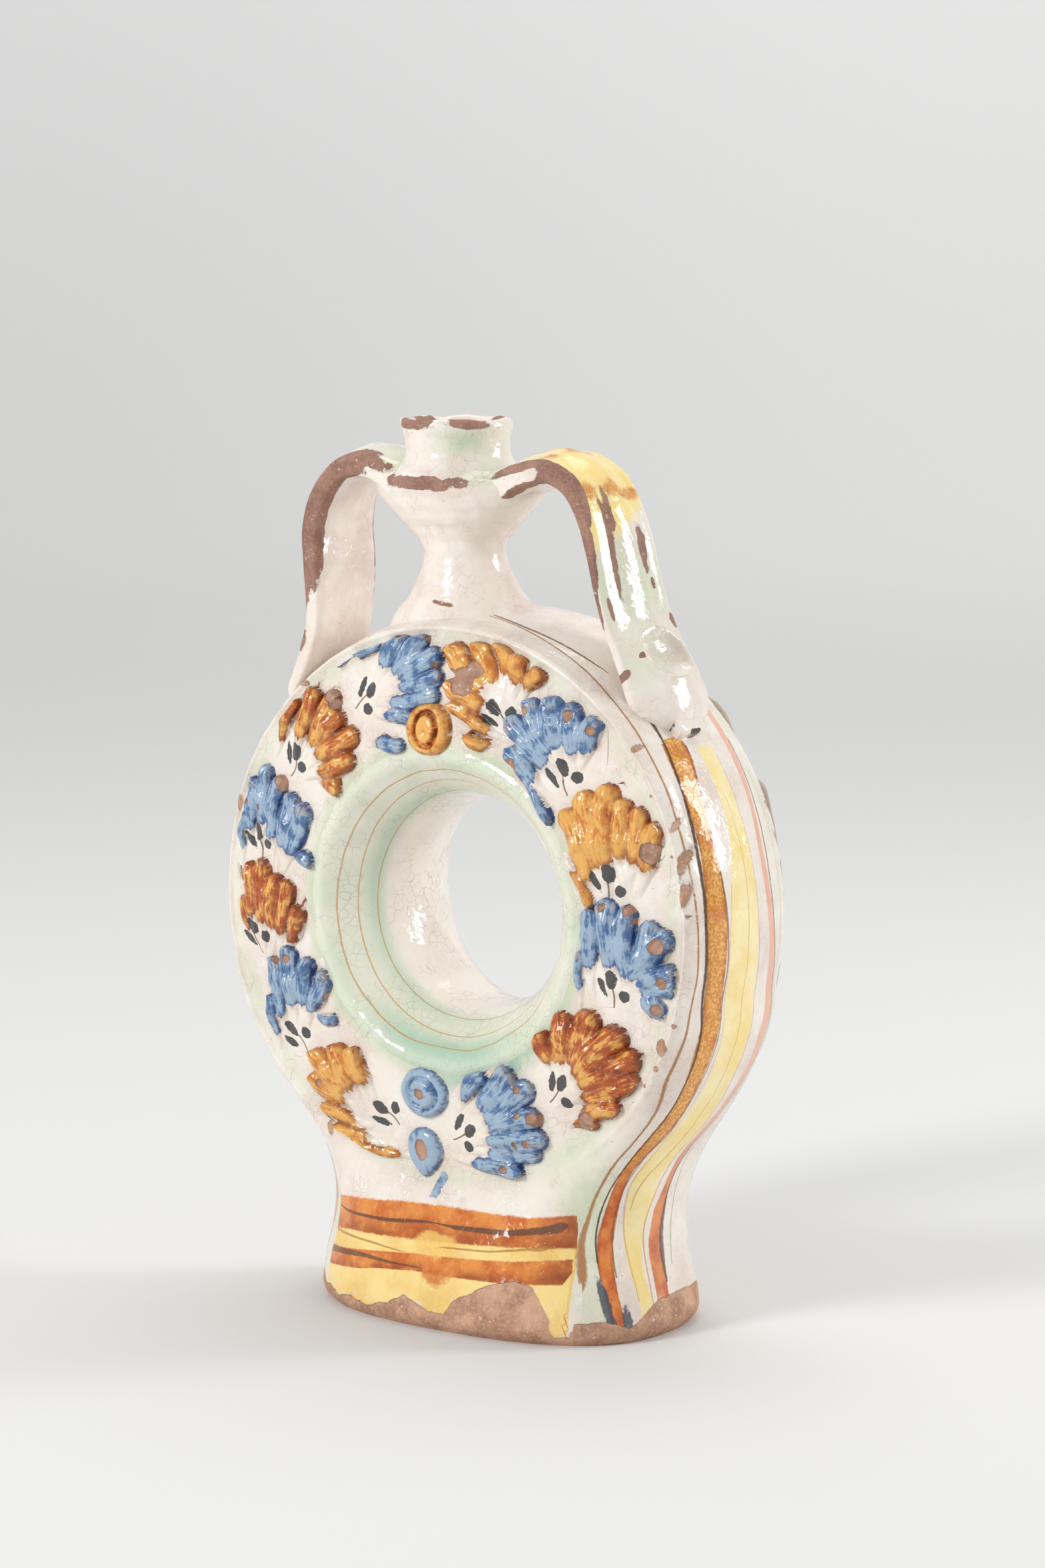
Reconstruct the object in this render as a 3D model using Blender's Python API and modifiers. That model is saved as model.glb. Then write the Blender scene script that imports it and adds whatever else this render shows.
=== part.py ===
"""Ring flask of tin-glazed earthenware: a hollow ring on an oval foot, with a spout and two strap handles.

X runs across the flask, the shown face looks towards -Y, Z is up and the foot stands on Z = 0.
"""

import math

import bmesh
import bpy
from mathutils import Matrix, Vector

MM = 0.001

# One thickness of clay everywhere, and the slip joint left between luted pieces
WALL = 4.6 * MM
JOINT = 0.3 * MM
MERGE = 0.01 * MM

# Ring, measured about its own axis, which lies along Y
RING_HEIGHT = 139.5 * MM
RING_EDGE_RADIUS = 96 * MM
RING_CREST_RISE = 2.5 * MM
RING_CREST_RADIUS = RING_EDGE_RADIUS + RING_CREST_RISE
RING_EDGE_DEPTH = 23.4 * MM
LIP_RADIUS = 51 * MM
LIP_ROLL = 3.4 * MM
LIP_JOINT_RADIUS = LIP_RADIUS + LIP_ROLL
FIELD_DEPTH = 31 * MM
LIP_JOINT_RISE = 3.4 * MM
LIP_JOINT_DEPTH = FIELD_DEPTH + LIP_JOINT_RISE
LIP_RISE = 0.8 * MM
LIP_DEPTH = LIP_JOINT_DEPTH + LIP_RISE
BORE_WAIST_RADIUS = 34.2 * MM
BORE_STEPS = 6
BORE_SIDES = 52
RIDGE_INSET = 5.4 * MM
RIDGE_RADIUS = RING_EDGE_RADIUS - RIDGE_INSET
FIELD_INSET = 8 * MM
FIELD_RADIUS = RING_EDGE_RADIUS - FIELD_INSET
FIELD_WIDTH = FIELD_RADIUS - LIP_JOINT_RADIUS
FOOT_FACE_REACH = 22 * MM
RIDGE_RELIEF = 0.9 * MM
RING_COLUMNS_HALF = 14

# Foot, an oval of the kind |x/a|^n + |y/b|^n = 1: height as a share of the ring's, half width as a share of its
# crest, half depth, how square the oval is (n), and the depth at which the face turns into the side band
FOOT_SHIFT = 2.4 * MM
FOOT_STATION_SHARES = [
    (0.0000, 0.6904, 45.3 * MM, 2.5, 33.5 * MM),
    (0.0573, 0.6843, 44.6 * MM, 2.5, 32.8 * MM),
    (0.1219, 0.6701, 43 * MM, 2.5, 31.2 * MM),
    (0.1935, 0.6528, 40.6 * MM, 2.5, 29.6 * MM),
    (0.2652, 0.6457, 38.2 * MM, 2.6, 28 * MM),
    (0.3297, 0.6569, 36.4 * MM, 2.9, 26.4 * MM),
    (0.3871, 0.6812, 35 * MM, 3.3, 25 * MM),
    (0.4516, 0.7279, 33.8 * MM, 3.9, 24.2 * MM),
    (0.5233, 0.7990, 32.6 * MM, 4.6, 23.8 * MM),
    (0.6022, 0.8711, 31.8 * MM, 5.4, 23.5 * MM),
    (0.6882, 0.9310, 31.3 * MM, 6.2, 23.4 * MM),
    (0.7742, 0.9645, 31 * MM, 6.6, 23.4 * MM),
]
FOOT_STATIONS = [(RING_HEIGHT * height, RING_CREST_RADIUS * wide, deep, squareness, edge_deep)
                 for height, wide, deep, squareness, edge_deep in FOOT_STATION_SHARES]
FOOT_BLEND_TOP_SHARE = 0.8315
FOOT_FACE_TOP_SHARES = (0.6, 0.774)
FOOT_SQUARE_TOP_SHARE = 0.215
FOOT_LEAN_SHARES = (0.3, 0.7)
FOOT_BLEND_TOP = RING_HEIGHT * FOOT_BLEND_TOP_SHARE
BASE_COLUMN_SHARES = (0.28, 0.52, 0.68, 0.8, 0.91)
SOLE_CLEARANCE = 1.1 * MM
SOLE_POINTS = 48
SOLE_THICKNESS = 5 * MM

# Neck and spout, about an axis that leans to the left as it rises
NECK_AXIS_Y = -5 * MM
NECK_AXIS_X = -12.1 * MM
NECK_AXIS_RISE = 18.6 * MM
NECK_FOOT = RING_HEIGHT + RING_CREST_RADIUS
NECK_LEAN_SLOPE = 0.08
NECK_STATIONS = [  # height above the ring, outer half width, outer half depth, channel radius
    (-10 * MM, 31.0 * MM, 22.0 * MM, 9.5 * MM),
    (-3 * MM, 26.5 * MM, 20.5 * MM, 9.5 * MM),
    (2 * MM, 21.5 * MM, 18.0 * MM, 9.2 * MM),
    (8 * MM, 17.4 * MM, 15.8 * MM, 9.0 * MM),
    (14 * MM, 14.6 * MM, 14.2 * MM, 8.8 * MM),
    (19 * MM, 13.8 * MM, 13.8 * MM, 8.8 * MM),
    (24 * MM, 16.2 * MM, 15.0 * MM, 9.4 * MM),
    (30 * MM, 22.0 * MM, 18.2 * MM, 11.0 * MM),
    (36 * MM, 24.0 * MM, 20.6 * MM, 12.4 * MM),
    (41.5 * MM, 22.4 * MM, 22.0 * MM, 13.2 * MM),
]
SPOUT_STATIONS = [
    (41.8 * MM, 22.0 * MM, 22.0 * MM, 13.2 * MM),
    (44.5 * MM, 21.0 * MM, 21.0 * MM, 13.3 * MM),
    (48 * MM, 18.4 * MM, 18.4 * MM, 13.2 * MM),
    (52.5 * MM, 17.4 * MM, 17.4 * MM, 13.0 * MM),
    (57 * MM, 18.0 * MM, 18.0 * MM, 13.2 * MM),
    (60.5 * MM, 18.9 * MM, 18.9 * MM, 13.8 * MM),
    (62 * MM, 17.6 * MM, 17.6 * MM, 15.2 * MM),
]
NECK_SIDES = 28
CHANNEL_RADIUS = 9.5 * MM

# Strap handles: the middle line of each strap from the shoulder over to the side of the ring, as shares of the
# ring's crest radius about its middle, then the strap's thickness
STRAP_MID_Y = -5 * MM
STRAP_HALF_WIDTH = 14.6 * MM
STRAP_CROWN = 2.4 * MM
STRAP_GROOVE = 0.9 * MM
STRAP_RIBS = 3
STRAP_TOP_POINTS = 11
STRAP_FOOT_SPREAD = 1.12
LEFT_STRAP_SHARES = [
    (-0.2538, 1.3655, 12 * MM), (-0.3452, 1.4264, 11 * MM), (-0.4365, 1.4569, 9 * MM),
    (-0.5279, 1.4315, 8 * MM), (-0.6041, 1.3503, 8 * MM), (-0.6457, 1.2437, 8 * MM),
    (-0.6558, 1.1218, 8 * MM), (-0.6518, 1.0102, 8 * MM), (-0.6579, 0.9086, 8.5 * MM),
    (-0.6782, 0.8122, 9 * MM), (-0.7188, 0.7320, 8 * MM),
]
RIGHT_STRAP_SHARES = [
    (0.0102, 1.3655, 12 * MM), (0.1015, 1.4162, 10.5 * MM), (0.2030, 1.4528, 8.5 * MM),
    (0.3046, 1.4629, 7.5 * MM), (0.3919, 1.4223, 7.5 * MM), (0.4508, 1.3401, 7.5 * MM),
    (0.4934, 1.2234, 7.5 * MM), (0.5259, 1.0914, 7.5 * MM), (0.5584, 0.9797, 8 * MM),
    (0.6091, 0.8731, 9 * MM), (0.6660, 0.7919, 9 * MM), (0.7249, 0.7218, 7.5 * MM),
]
STRAP_SUBDIVISION = 2
THUMB_RADIUS = 9 * MM
THUMB_DEPTH = 2.2 * MM
THUMB_OFFSET_Y = 1 * MM

# Pierced cord lug below each handle
LUG_GAP = 3.3 * MM
LUG_LENGTH = 9 * MM
LUG_WIDTH = 14 * MM
LUG_HEIGHT = 5 * MM
LUG_ROUNDING = 1.8 * MM
LUG_HOLE_RADIUS = 1.3 * MM
LUG_HOLE_SHARE = 0.52

# Garland of pressed sprigs: leaves climb both sides from the bottom, clock angles run from the top
GARLAND_SHIFT = -5 * MM
GARLAND_RADIUS_SHARE = 0.598
GARLAND_RADIUS = LIP_JOINT_RADIUS + FIELD_WIDTH * GARLAND_RADIUS_SHARE
RIGHT_LEAF_CLOCK_DEGREES = (22, 48, 77, 103.5, 135, 168)
LEFT_LEAF_CLOCK_DEGREES = (20, 50.5, 76.5, 102, 130.5, 163)
LEAF_FREE_SHARES = (0.196, 0.792)
LEAF_FREE_RADII = [LIP_JOINT_RADIUS + FIELD_WIDTH * share for share in LEAF_FREE_SHARES]
LEAF_SQUEEZE_SHARE = 0.27
LEAF_RELIEF = 4.2 * MM
LEAF_EDGE_RELIEF = 1.3 * MM
LEAF_CENTRE_RELIEF = 1.6 * MM
LEAF_LOBE_SHARES = [  # bearing from the climbing direction in degrees, reach of the lobe against the field's width
    (-140, 0.3125), (-88, 0.4613), (-46, 0.6845), (-6, 0.7887),
    (36, 0.7292), (82, 0.5060), (138, 0.3125),
]
LEAF_STEM = 10.4 * MM
LEAF_TOP_PITCH_DEGREES = (27, 22.5)
LEAF_VALLEY_SHARE = 0.86
LEAF_RING_SHARES = (0.45, 0.78)
BOSS_CLOCK_DEGREES = (-4, 188)
BOSS_CENTRE_SHARE = 0.1845
BOSS_RADIUS_SHARE = 0.1964
BOSS_CENTRE_RADIUS = LIP_JOINT_RADIUS + FIELD_WIDTH * BOSS_CENTRE_SHARE
BOSS_RADIUS = FIELD_WIDTH * BOSS_RADIUS_SHARE
BOSS_SIDES = 14
BOSS_RELIEF = 3.6 * MM
BOSS_DIMPLE = 1.6 * MM
DROP_RADIUS_SHARE = 0.125
DROP_CLEARANCE = 1.8 * MM
DROP_RADIUS = FIELD_WIDTH * DROP_RADIUS_SHARE
DROP_CENTRE_RADIUS = FIELD_RADIUS - DROP_RADIUS - DROP_CLEARANCE
DROP_RELIEF = 2.6 * MM

CREAM = (0.80, 0.74, 0.68)
CREAM_SHADE = (0.74, 0.71, 0.63)
COBALT = (0.10, 0.22, 0.46)
OCHRE = (0.62, 0.24, 0.04)
BARE_CLAY = (0.42, 0.26, 0.18)


def clear_scene():
    for old in list(bpy.data.objects):
        bpy.data.objects.remove(old, do_unlink=True)


def glaze(name, colour, roughness=0.18):
    material = bpy.data.materials.new(name)
    material.use_nodes = True
    shader = material.node_tree.nodes["Principled BSDF"]
    shader.inputs["Base Color"].default_value = (*colour, 1)
    shader.inputs["Roughness"].default_value = roughness
    shader.inputs["Metallic"].default_value = 0
    return material


def collection(name):
    made = bpy.data.collections.new(name)
    bpy.context.scene.collection.children.link(made)
    return made


def add_object(name, bm, home, material=None):
    bmesh.ops.recalc_face_normals(bm, faces=bm.faces)
    mesh = bpy.data.meshes.new(name)
    bm.to_mesh(mesh)
    bm.free()
    mesh.shade_smooth()
    mesh.set_sharp_from_angle(angle=math.radians(40))
    made = bpy.data.objects.new(name, mesh)
    home.objects.link(made)
    if material:
        mesh.materials.append(material)
    else:
        made.hide_render = True
        made.display_type = "WIRE"
    return made


def cut(piece, cutter):
    step = piece.modifiers.new("cut " + cutter.name, "BOOLEAN")
    step.operation = "DIFFERENCE"
    step.object = cutter
    step.solver = "EXACT"


def smooth_step(value, low, high):
    share = min(max((value - low) / (high - low), 0), 1)
    return share * share * (3 - 2 * share)


def along(table, height, column):
    """One column of a station table, read at a height between its rows."""
    if height <= table[0][0]:
        return table[0][column]
    for low, high in zip(table, table[1:]):
        if height <= high[0]:
            share = (height - low[0]) / (high[0] - low[0])
            return low[column] + (high[column] - low[column]) * share
    return table[-1][column]


# Front and back faces and the side band share one set of stations round the outline

def oval(place, length, height, squareness):
    """The other half axis's reach of an oval at a place along one of its half axes."""
    return height * max(1 - (abs(place) / length) ** squareness, 0) ** (1 / squareness)


def foot_station(height):
    """Edge and crest of the foot at a height: (edge x, edge z, edge depth, crest x, crest z, blend)."""
    wide, deep, squareness, edge_deep = (along(FOOT_STATIONS, height, column) for column in (1, 2, 3, 4))
    blend = 1 - smooth_step(height, RING_HEIGHT * FOOT_SQUARE_TOP_SHARE, FOOT_BLEND_TOP)
    return oval(edge_deep, deep, wide, squareness), height, edge_deep, wide, height, blend


def foot_depth(x, height):
    """Half thickness of the foot at a place on its face."""
    wide, deep, squareness = (along(FOOT_STATIONS, height, column) for column in (1, 2, 3))
    return oval(x - foot_lean(height), wide, deep, squareness)


def ring_station(angle):
    """Edge and crest of the ring at an angle turned up from straight below the ring."""
    across, down = math.sin(angle), math.cos(angle)
    return (RING_EDGE_RADIUS * across, RING_HEIGHT - RING_EDGE_RADIUS * down, RING_EDGE_DEPTH,
            RING_CREST_RADIUS * across, RING_HEIGHT - RING_CREST_RADIUS * down, 0)


def outline_stations():
    """Stations up the right side from the base to the top of the ring, then down the left, as mirrored pairs."""
    half = [foot_station(row[0]) for row in FOOT_STATIONS]
    start = math.acos((RING_HEIGHT - FOOT_BLEND_TOP) / RING_EDGE_RADIUS)
    half += [ring_station(start + (math.pi - start) * step / RING_COLUMNS_HALF)
             for step in range(RING_COLUMNS_HALF + 1)]
    right = [(*station, 1) for station in half]
    left = [(*station, -1) for station in reversed(half[:-1])]
    return right + left


def foot_lean(height):
    """The foot stands a little to the right of the ring's middle."""
    low, high = FOOT_LEAN_SHARES
    return FOOT_SHIFT * (1 - smooth_step(height, RING_HEIGHT * low, RING_HEIGHT * high))


def field_depth(radius):
    """Half thickness of the ring at a radius, before the face rolls over at its edge."""
    rise = (LIP_JOINT_DEPTH - FIELD_DEPTH) * (RIDGE_RADIUS - radius) / (RIDGE_RADIUS - LIP_JOINT_RADIUS)
    return FIELD_DEPTH + max(rise, 0)


def foot_share(radius, height):
    """How far a place on the face belongs to the foot and not to the ring."""
    low, high = FOOT_FACE_TOP_SHARES
    below = 1 - smooth_step(height, RING_HEIGHT * low, RING_HEIGHT * high)
    return smooth_step(radius, FIELD_RADIUS, FIELD_RADIUS + FOOT_FACE_REACH) * below


def face_depth(x, z, ring_deep):
    """Half thickness of the flask at a place on its face, given that of the ring there."""
    share = foot_share(math.hypot(x, z - RING_HEIGHT), z)
    return ring_deep + (foot_depth(x, z) - ring_deep) * share


def face_stations():
    """Outline of a face: the side stations, then the columns of the base line from left to right."""
    rows = [(x * side + foot_lean(z), z, depth, blend, side, "side")
            for x, z, depth, crest_x, crest_z, blend, side in outline_stations()]
    edge_x = foot_station(0)[0]
    for across in [-share for share in BASE_COLUMN_SHARES[::-1]] + [0, *BASE_COLUMN_SHARES]:
        x = edge_x * across + FOOT_SHIFT
        rows.append((x, 0, foot_depth(x, 0), 1, 0, "base"))
    return rows


FIELD_SHARES = (0, 0.24, 0.52, 0.8, 1)
BORDER_SHARES = (0.33, 0.69, 1)
BORDER_ROLL_SHARES = (0.97, 0.66, 0)
INNER_SHARES = (0, 0.45, 0.82, 1)


def face_wall(name, facing, home, material):
    """A pressed face plate; facing is -1 for the shown side and 1 for the back."""
    outer, inner = [], []
    for x, z, depth, blend, side, kind in face_stations():
        reach = math.hypot(x, z - RING_HEIGHT)
        away = (x / reach, (z - RING_HEIGHT) / reach)
        column = []
        rows = [(LIP_JOINT_RADIUS + (FIELD_RADIUS - LIP_JOINT_RADIUS) * share, 1) for share in FIELD_SHARES]
        rows += [(FIELD_RADIUS + (reach - FIELD_RADIUS) * share, roll)
                 for share, roll in zip(BORDER_SHARES, BORDER_ROLL_SHARES)]
        for radius, roll in rows:
            px, pz = away[0] * radius, RING_HEIGHT + away[1] * radius
            deep = face_depth(px, pz, depth + (field_depth(radius) - depth) * roll)
            if radius == rows[len(FIELD_SHARES)][0]:
                deep += RIDGE_RELIEF * (1 - blend)
            column.append((px, facing * deep, pz))
        outer.append(column)
        # the rim faces the band: along the radius on the ring, square to the corner on the foot
        if kind == "base":
            rim = Vector((0, -facing, 0))
        else:
            rim = (Vector((-away[0], 0, -away[1])) * (1 - blend)
                   + Vector((-0.7 * side, -0.7 * facing, 0)) * blend).normalized()
        end = Vector((x, facing * depth, z)) + rim * WALL
        inner_reach = math.hypot(end.x, end.z - RING_HEIGHT)
        inner_away = (end.x / inner_reach, (end.z - RING_HEIGHT) / inner_reach)
        column = []
        for share in INNER_SHARES:
            radius = LIP_JOINT_RADIUS + (inner_reach - LIP_JOINT_RADIUS) * share
            px, pz = inner_away[0] * radius, RING_HEIGHT + inner_away[1] * radius
            deep = face_depth(px, pz, field_depth(radius)) - WALL
            column.append((px, facing * deep, pz))
        column[-1] = tuple(end)
        inner.append(column)
    return add_object(name, two_skins(outer, inner, closed=True), home, material)


def two_skins(outer, inner, closed):
    """A wall between two grids of points that run side by side, with its rims closed."""
    bm = bmesh.new()
    skins = [[[bm.verts.new(point) for point in column] for column in grid] for grid in (outer, inner)]
    count = len(outer)
    pairs = [(i, (i + 1) % count) for i in range(count if closed else count - 1)]
    for a, b in pairs:
        for grid in skins:
            for j in range(len(grid[a]) - 1):
                bm.faces.new((grid[a][j], grid[b][j], grid[b][j + 1], grid[a][j + 1]))
        for end in (0, -1):
            bm.faces.new((skins[0][a][end], skins[0][b][end], skins[1][b][end], skins[1][a][end]))
    if not closed:
        for end in (0, -1):
            bm.faces.new(skins[0][end] + skins[1][end][::-1])
    return bm


BAND_SHARES = (0, 0.25, 0.5, 0.75, 1)
BAND_INNER_SHARES = (0, 0.25, 0.5, 0.75, 1)


def side_band(home, material):
    """The band round the outline from one side of the base over the top to the other."""
    outer, inner = [], []
    for x, z, depth, crest_x, crest_z, blend, side in outline_stations():
        shift = foot_lean(z)
        radial = Vector((x, 0, z - RING_HEIGHT)).normalized()
        away = (Vector((0, 1, 0)) * (1 - blend) + Vector((0.7, 0.7, 0)) * blend).normalized()
        edge = Vector((x + away.x * JOINT, -depth + away.y * JOINT, z))
        rim = (-radial * (1 - blend) + Vector((-0.7, 0.7, 0)) * blend).normalized()
        edge_in = edge + rim * WALL
        crest = Vector((crest_x, 0, crest_z))
        crest_in = crest - (radial * (1 - blend) + Vector((1, 0, 0)) * blend).normalized() * WALL
        for grid, start, top, shares in ((outer, edge, crest, BAND_SHARES),
                                         (inner, edge_in, crest_in, BAND_INNER_SHARES)):
            front = []
            for share in shares:
                turn = share * math.pi / 2
                bulge, back = math.sin(turn), math.cos(turn)
                if blend:
                    # on the foot the band follows the oval, from its edge to the middle of its side
                    wide, deep, squareness = (along(FOOT_STATIONS, z, column) for column in (1, 2, 3))
                    oval_bulge = (oval(depth * (1 - share), deep, wide, squareness) - x) / (wide - x)
                    bulge += (oval_bulge - bulge) * blend
                    back += (1 - share - back) * blend
                front.append((start.x + (top.x - start.x) * bulge, start.y * back,
                              start.z + (top.z - start.z) * bulge))
            whole = front + [(px, -py, pz) for px, py, pz in front[-2::-1]]
            grid.append([(px * side + shift, py, pz) for px, py, pz in whole])
    return add_object("side_band", two_skins(outer, inner, closed=False), home, material)


def turned(name, profile, steps, home, material=None):
    """A profile of (radius, height) turned about Z, outer side first and running down."""
    bm = bmesh.new()
    ring = [bm.verts.new((radius, 0, height)) for radius, height in profile]
    for a, b in zip(ring, ring[1:]):
        bm.edges.new((a, b))
    if profile[0][0] > 0:
        bm.edges.new((ring[-1], ring[0]))
    mesh = bpy.data.meshes.new(name)
    bm.to_mesh(mesh)
    bm.free()
    made = bpy.data.objects.new(name, mesh)
    home.objects.link(made)
    screw = made.modifiers.new("turn", "SCREW")
    screw.steps = screw.render_steps = steps
    screw.use_merge_vertices = True
    screw.merge_threshold = MERGE
    if material:
        mesh.materials.append(material)
    else:
        made.hide_render = True
        made.display_type = "WIRE"
    return made


def bore_radius(depth):
    """The bore's waist is an arc that opens to the lips at both faces."""
    rise, half = LIP_RADIUS - BORE_WAIST_RADIUS, LIP_DEPTH
    arc = (half * half + rise * rise) / (2 * rise)
    return BORE_WAIST_RADIUS + arc - math.sqrt(arc * arc - depth * depth)


def bore_tube(home, material):
    depths = [LIP_DEPTH * (-1 + 2 * step / (2 * BORE_STEPS)) for step in range(2 * BORE_STEPS + 1)]
    bore = [(bore_radius(depth), depth) for depth in depths]
    edge = LIP_JOINT_RADIUS - JOINT
    cavity_end = LIP_JOINT_DEPTH - WALL
    cavity = [(bore_radius(share * cavity_end) + WALL, share * cavity_end)
              for share in (0.8, 0.4, 0, -0.4, -0.8)]
    outside = [(edge, LIP_JOINT_DEPTH), (edge, cavity_end)] + cavity
    outside += [(edge, -cavity_end), (edge, -LIP_JOINT_DEPTH)]
    tube = turned("bore_tube", outside + bore, BORE_SIDES, home, material)
    tube.rotation_euler = (math.pi / 2, 0, 0)
    tube.location = (0, 0, RING_HEIGHT)
    return tube


def foot_sole(home, material):
    """Flat slab that closes the foot inside its walls."""
    curve = bpy.data.curves.new("foot_sole", "CURVE")
    curve.dimensions = "2D"
    curve.fill_mode = "BOTH"
    curve.extrude = SOLE_THICKNESS / 2
    wide, deep, squareness = (FOOT_STATIONS[0][column] for column in (1, 2, 3))
    wide, deep = wide - WALL - SOLE_CLEARANCE, deep - WALL - SOLE_CLEARANCE
    points = []
    for step in range(SOLE_POINTS):
        turn = 2 * math.pi * step / SOLE_POINTS
        across, away = math.cos(turn), math.sin(turn)
        points.append((wide * math.copysign(abs(across) ** (2 / squareness), across),
                       deep * math.copysign(abs(away) ** (2 / squareness), away)))
    spline = curve.splines.new("POLY")
    spline.points.add(len(points) - 1)
    for point, (x, y) in zip(spline.points, points):
        point.co = (x, y, 0, 1)
    spline.use_cyclic_u = True
    curve.materials.append(material)
    sole = bpy.data.objects.new("foot_sole", curve)
    sole.location = (FOOT_SHIFT, 0, SOLE_THICKNESS / 2)
    home.objects.link(sole)
    return sole


def neck_centre(height):
    return NECK_AXIS_X - (height - NECK_FOOT - NECK_AXIS_RISE) * NECK_LEAN_SLOPE


def throat(name, stations, home, material):
    """A thrown tube whose wall is oval outside and round inside, about the leaning axis."""
    outer, inner = [], []
    for side in range(NECK_SIDES):
        turn = 2 * math.pi * side / NECK_SIDES
        across, away = math.cos(turn), math.sin(turn)
        outer.append([(neck_centre(NECK_FOOT + rise) + wide * across, NECK_AXIS_Y + deep * away, NECK_FOOT + rise)
                      for rise, wide, deep, channel in stations])
        inner.append([(neck_centre(NECK_FOOT + rise) + channel * across, NECK_AXIS_Y + channel * away,
                       NECK_FOOT + rise) for rise, wide, deep, channel in stations])
    return add_object(name, two_skins(outer, inner, closed=True), home, material)


def neck_envelope(guides):
    """The neck and spout as one solid, a joint's width larger, for cutting the handles' upper ends."""
    bm = bmesh.new()
    rings = []
    for rise, wide, deep, channel in NECK_STATIONS + SPOUT_STATIONS[1:]:
        z = NECK_FOOT + rise
        rings.append([bm.verts.new((neck_centre(z) + (wide + JOINT) * math.cos(2 * math.pi * side / NECK_SIDES),
                                    NECK_AXIS_Y + (deep + JOINT) * math.sin(2 * math.pi * side / NECK_SIDES), z))
                      for side in range(NECK_SIDES)])
    for low, high in zip(rings, rings[1:]):
        for side in range(NECK_SIDES):
            following = (side + 1) % NECK_SIDES
            bm.faces.new((low[side], low[following], high[following], high[side]))
    bm.faces.new(rings[0])
    bm.faces.new(rings[-1])
    return add_object("neck_envelope", bm, guides)


def ring_envelope(guides):
    """The ring's outer form, a joint's width larger, for cutting what is luted onto it."""
    edge, crest, depth = RING_EDGE_RADIUS + JOINT, RING_CREST_RADIUS + JOINT, RING_EDGE_DEPTH + JOINT
    profile = [(0, LIP_DEPTH), (LIP_JOINT_RADIUS, LIP_JOINT_DEPTH + JOINT),
               (RIDGE_RADIUS, FIELD_DEPTH + RIDGE_RELIEF + JOINT)]
    profile += [(RIDGE_RADIUS + (edge - RIDGE_RADIUS) * 0.6, depth + (FIELD_DEPTH - depth) * 0.72), (edge, depth)]
    for share in (0.75, 0.5, 0.25, 0, -0.25, -0.5, -0.75):
        turn = (1 - abs(share)) * math.pi / 2
        profile.append((edge + (crest - edge) * math.sin(turn), math.copysign(depth * math.cos(turn), share)))
    profile += [(radius, -height) for radius, height in profile[4::-1]]
    solid = turned("ring_envelope", profile, 96, guides)
    solid.rotation_euler = (math.pi / 2, 0, 0)
    solid.location = (0, 0, RING_HEIGHT)
    return solid


def channel_cutter(guides):
    """The hole through the top of the band, where the neck opens into the ring."""
    length = (WALL + RING_CREST_RISE) * 6
    bm = bmesh.new()
    bmesh.ops.create_cone(bm, cap_ends=True, segments=24, radius1=CHANNEL_RADIUS, radius2=CHANNEL_RADIUS,
                          depth=length)
    made = add_object("channel_cutter", bm, guides)
    made.location = (neck_centre(NECK_FOOT), NECK_AXIS_Y, NECK_FOOT)
    return made


def strap_point(row):
    across, up, thickness = row
    return RING_CREST_RADIUS * across, RING_HEIGHT + RING_CREST_RADIUS * up, thickness


def strap_section(half_width, thickness, grooves):
    """Strap section as (across, outward): flat inside, crowned outside with ribs between grooves."""
    points = []
    for step in range(STRAP_TOP_POINTS):
        across = -1 + 2 * step / (STRAP_TOP_POINTS - 1)
        crown = STRAP_CROWN * (1 - across * across)
        rib = grooves * STRAP_GROOVE * (0.5 - 0.5 * math.cos(math.pi * STRAP_RIBS * (across + 1)))
        points.append((across * half_width, thickness / 2 + crown - rib))
    points += [(half_width, -thickness / 2), (0, -thickness / 2), (-half_width, -thickness / 2)]
    return points


def smooth_path(points, parts):
    """Points through a route, rounded as a Catmull-Rom curve with so many parts between two points."""
    padded = [points[0], *points, points[-1]]
    route = []
    for a, b, c, d in zip(padded, padded[1:], padded[2:], padded[3:]):
        for part in range(parts):
            t = part / parts
            route.append(tuple(0.5 * (2 * q + (r - p) * t + (2 * p - 5 * q + 4 * r - s) * t * t
                                      + (3 * q - p - 3 * r + s) * t ** 3) for p, q, r, s in zip(a, b, c, d)))
    route.append(points[-1])
    return route


def strap_handle(name, route, home, material):
    """A pulled strap, lofted along its route, with the ribs dying out at both ends."""
    line = smooth_path([strap_point(row) for row in route], STRAP_SUBDIVISION)
    outward = -1 if route[-1][0] < 0 else 1
    bm = bmesh.new()
    loops = []
    for place, (x, z, thickness) in enumerate(line):
        before, after = line[max(place - 1, 0)], line[min(place + 1, len(line) - 1)]
        run = Vector((after[0] - before[0], 0, after[1] - before[1])).normalized()
        out = Vector((-run.z * outward, 0, run.x * outward))
        share = place / (len(line) - 1)
        spread = 1 + (STRAP_FOOT_SPREAD - 1) * smooth_step(share, 0.7, 1)
        grooves = smooth_step(share, 0.12, 0.3) * (1 - smooth_step(share, 0.68, 0.86))
        edge = thickness - STRAP_CROWN
        loops.append([bm.verts.new(Vector((x, STRAP_MID_Y + across, z)) + out * height)
                      for across, height in strap_section(STRAP_HALF_WIDTH * spread, edge, grooves)])
    for low, high in zip(loops, loops[1:]):
        count = len(low)
        for side in range(count):
            following = (side + 1) % count
            bm.faces.new((low[side], low[following], high[following], high[side]))
    bm.faces.new(loops[0])
    bm.faces.new(loops[-1])
    return add_object(name, bm, home, material)


def on_ring(turn, radius):
    """A place over the side band, by angle from the top of the ring, to the right."""
    return Vector((radius * math.sin(turn), STRAP_MID_Y, RING_HEIGHT + radius * math.cos(turn)))


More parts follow.
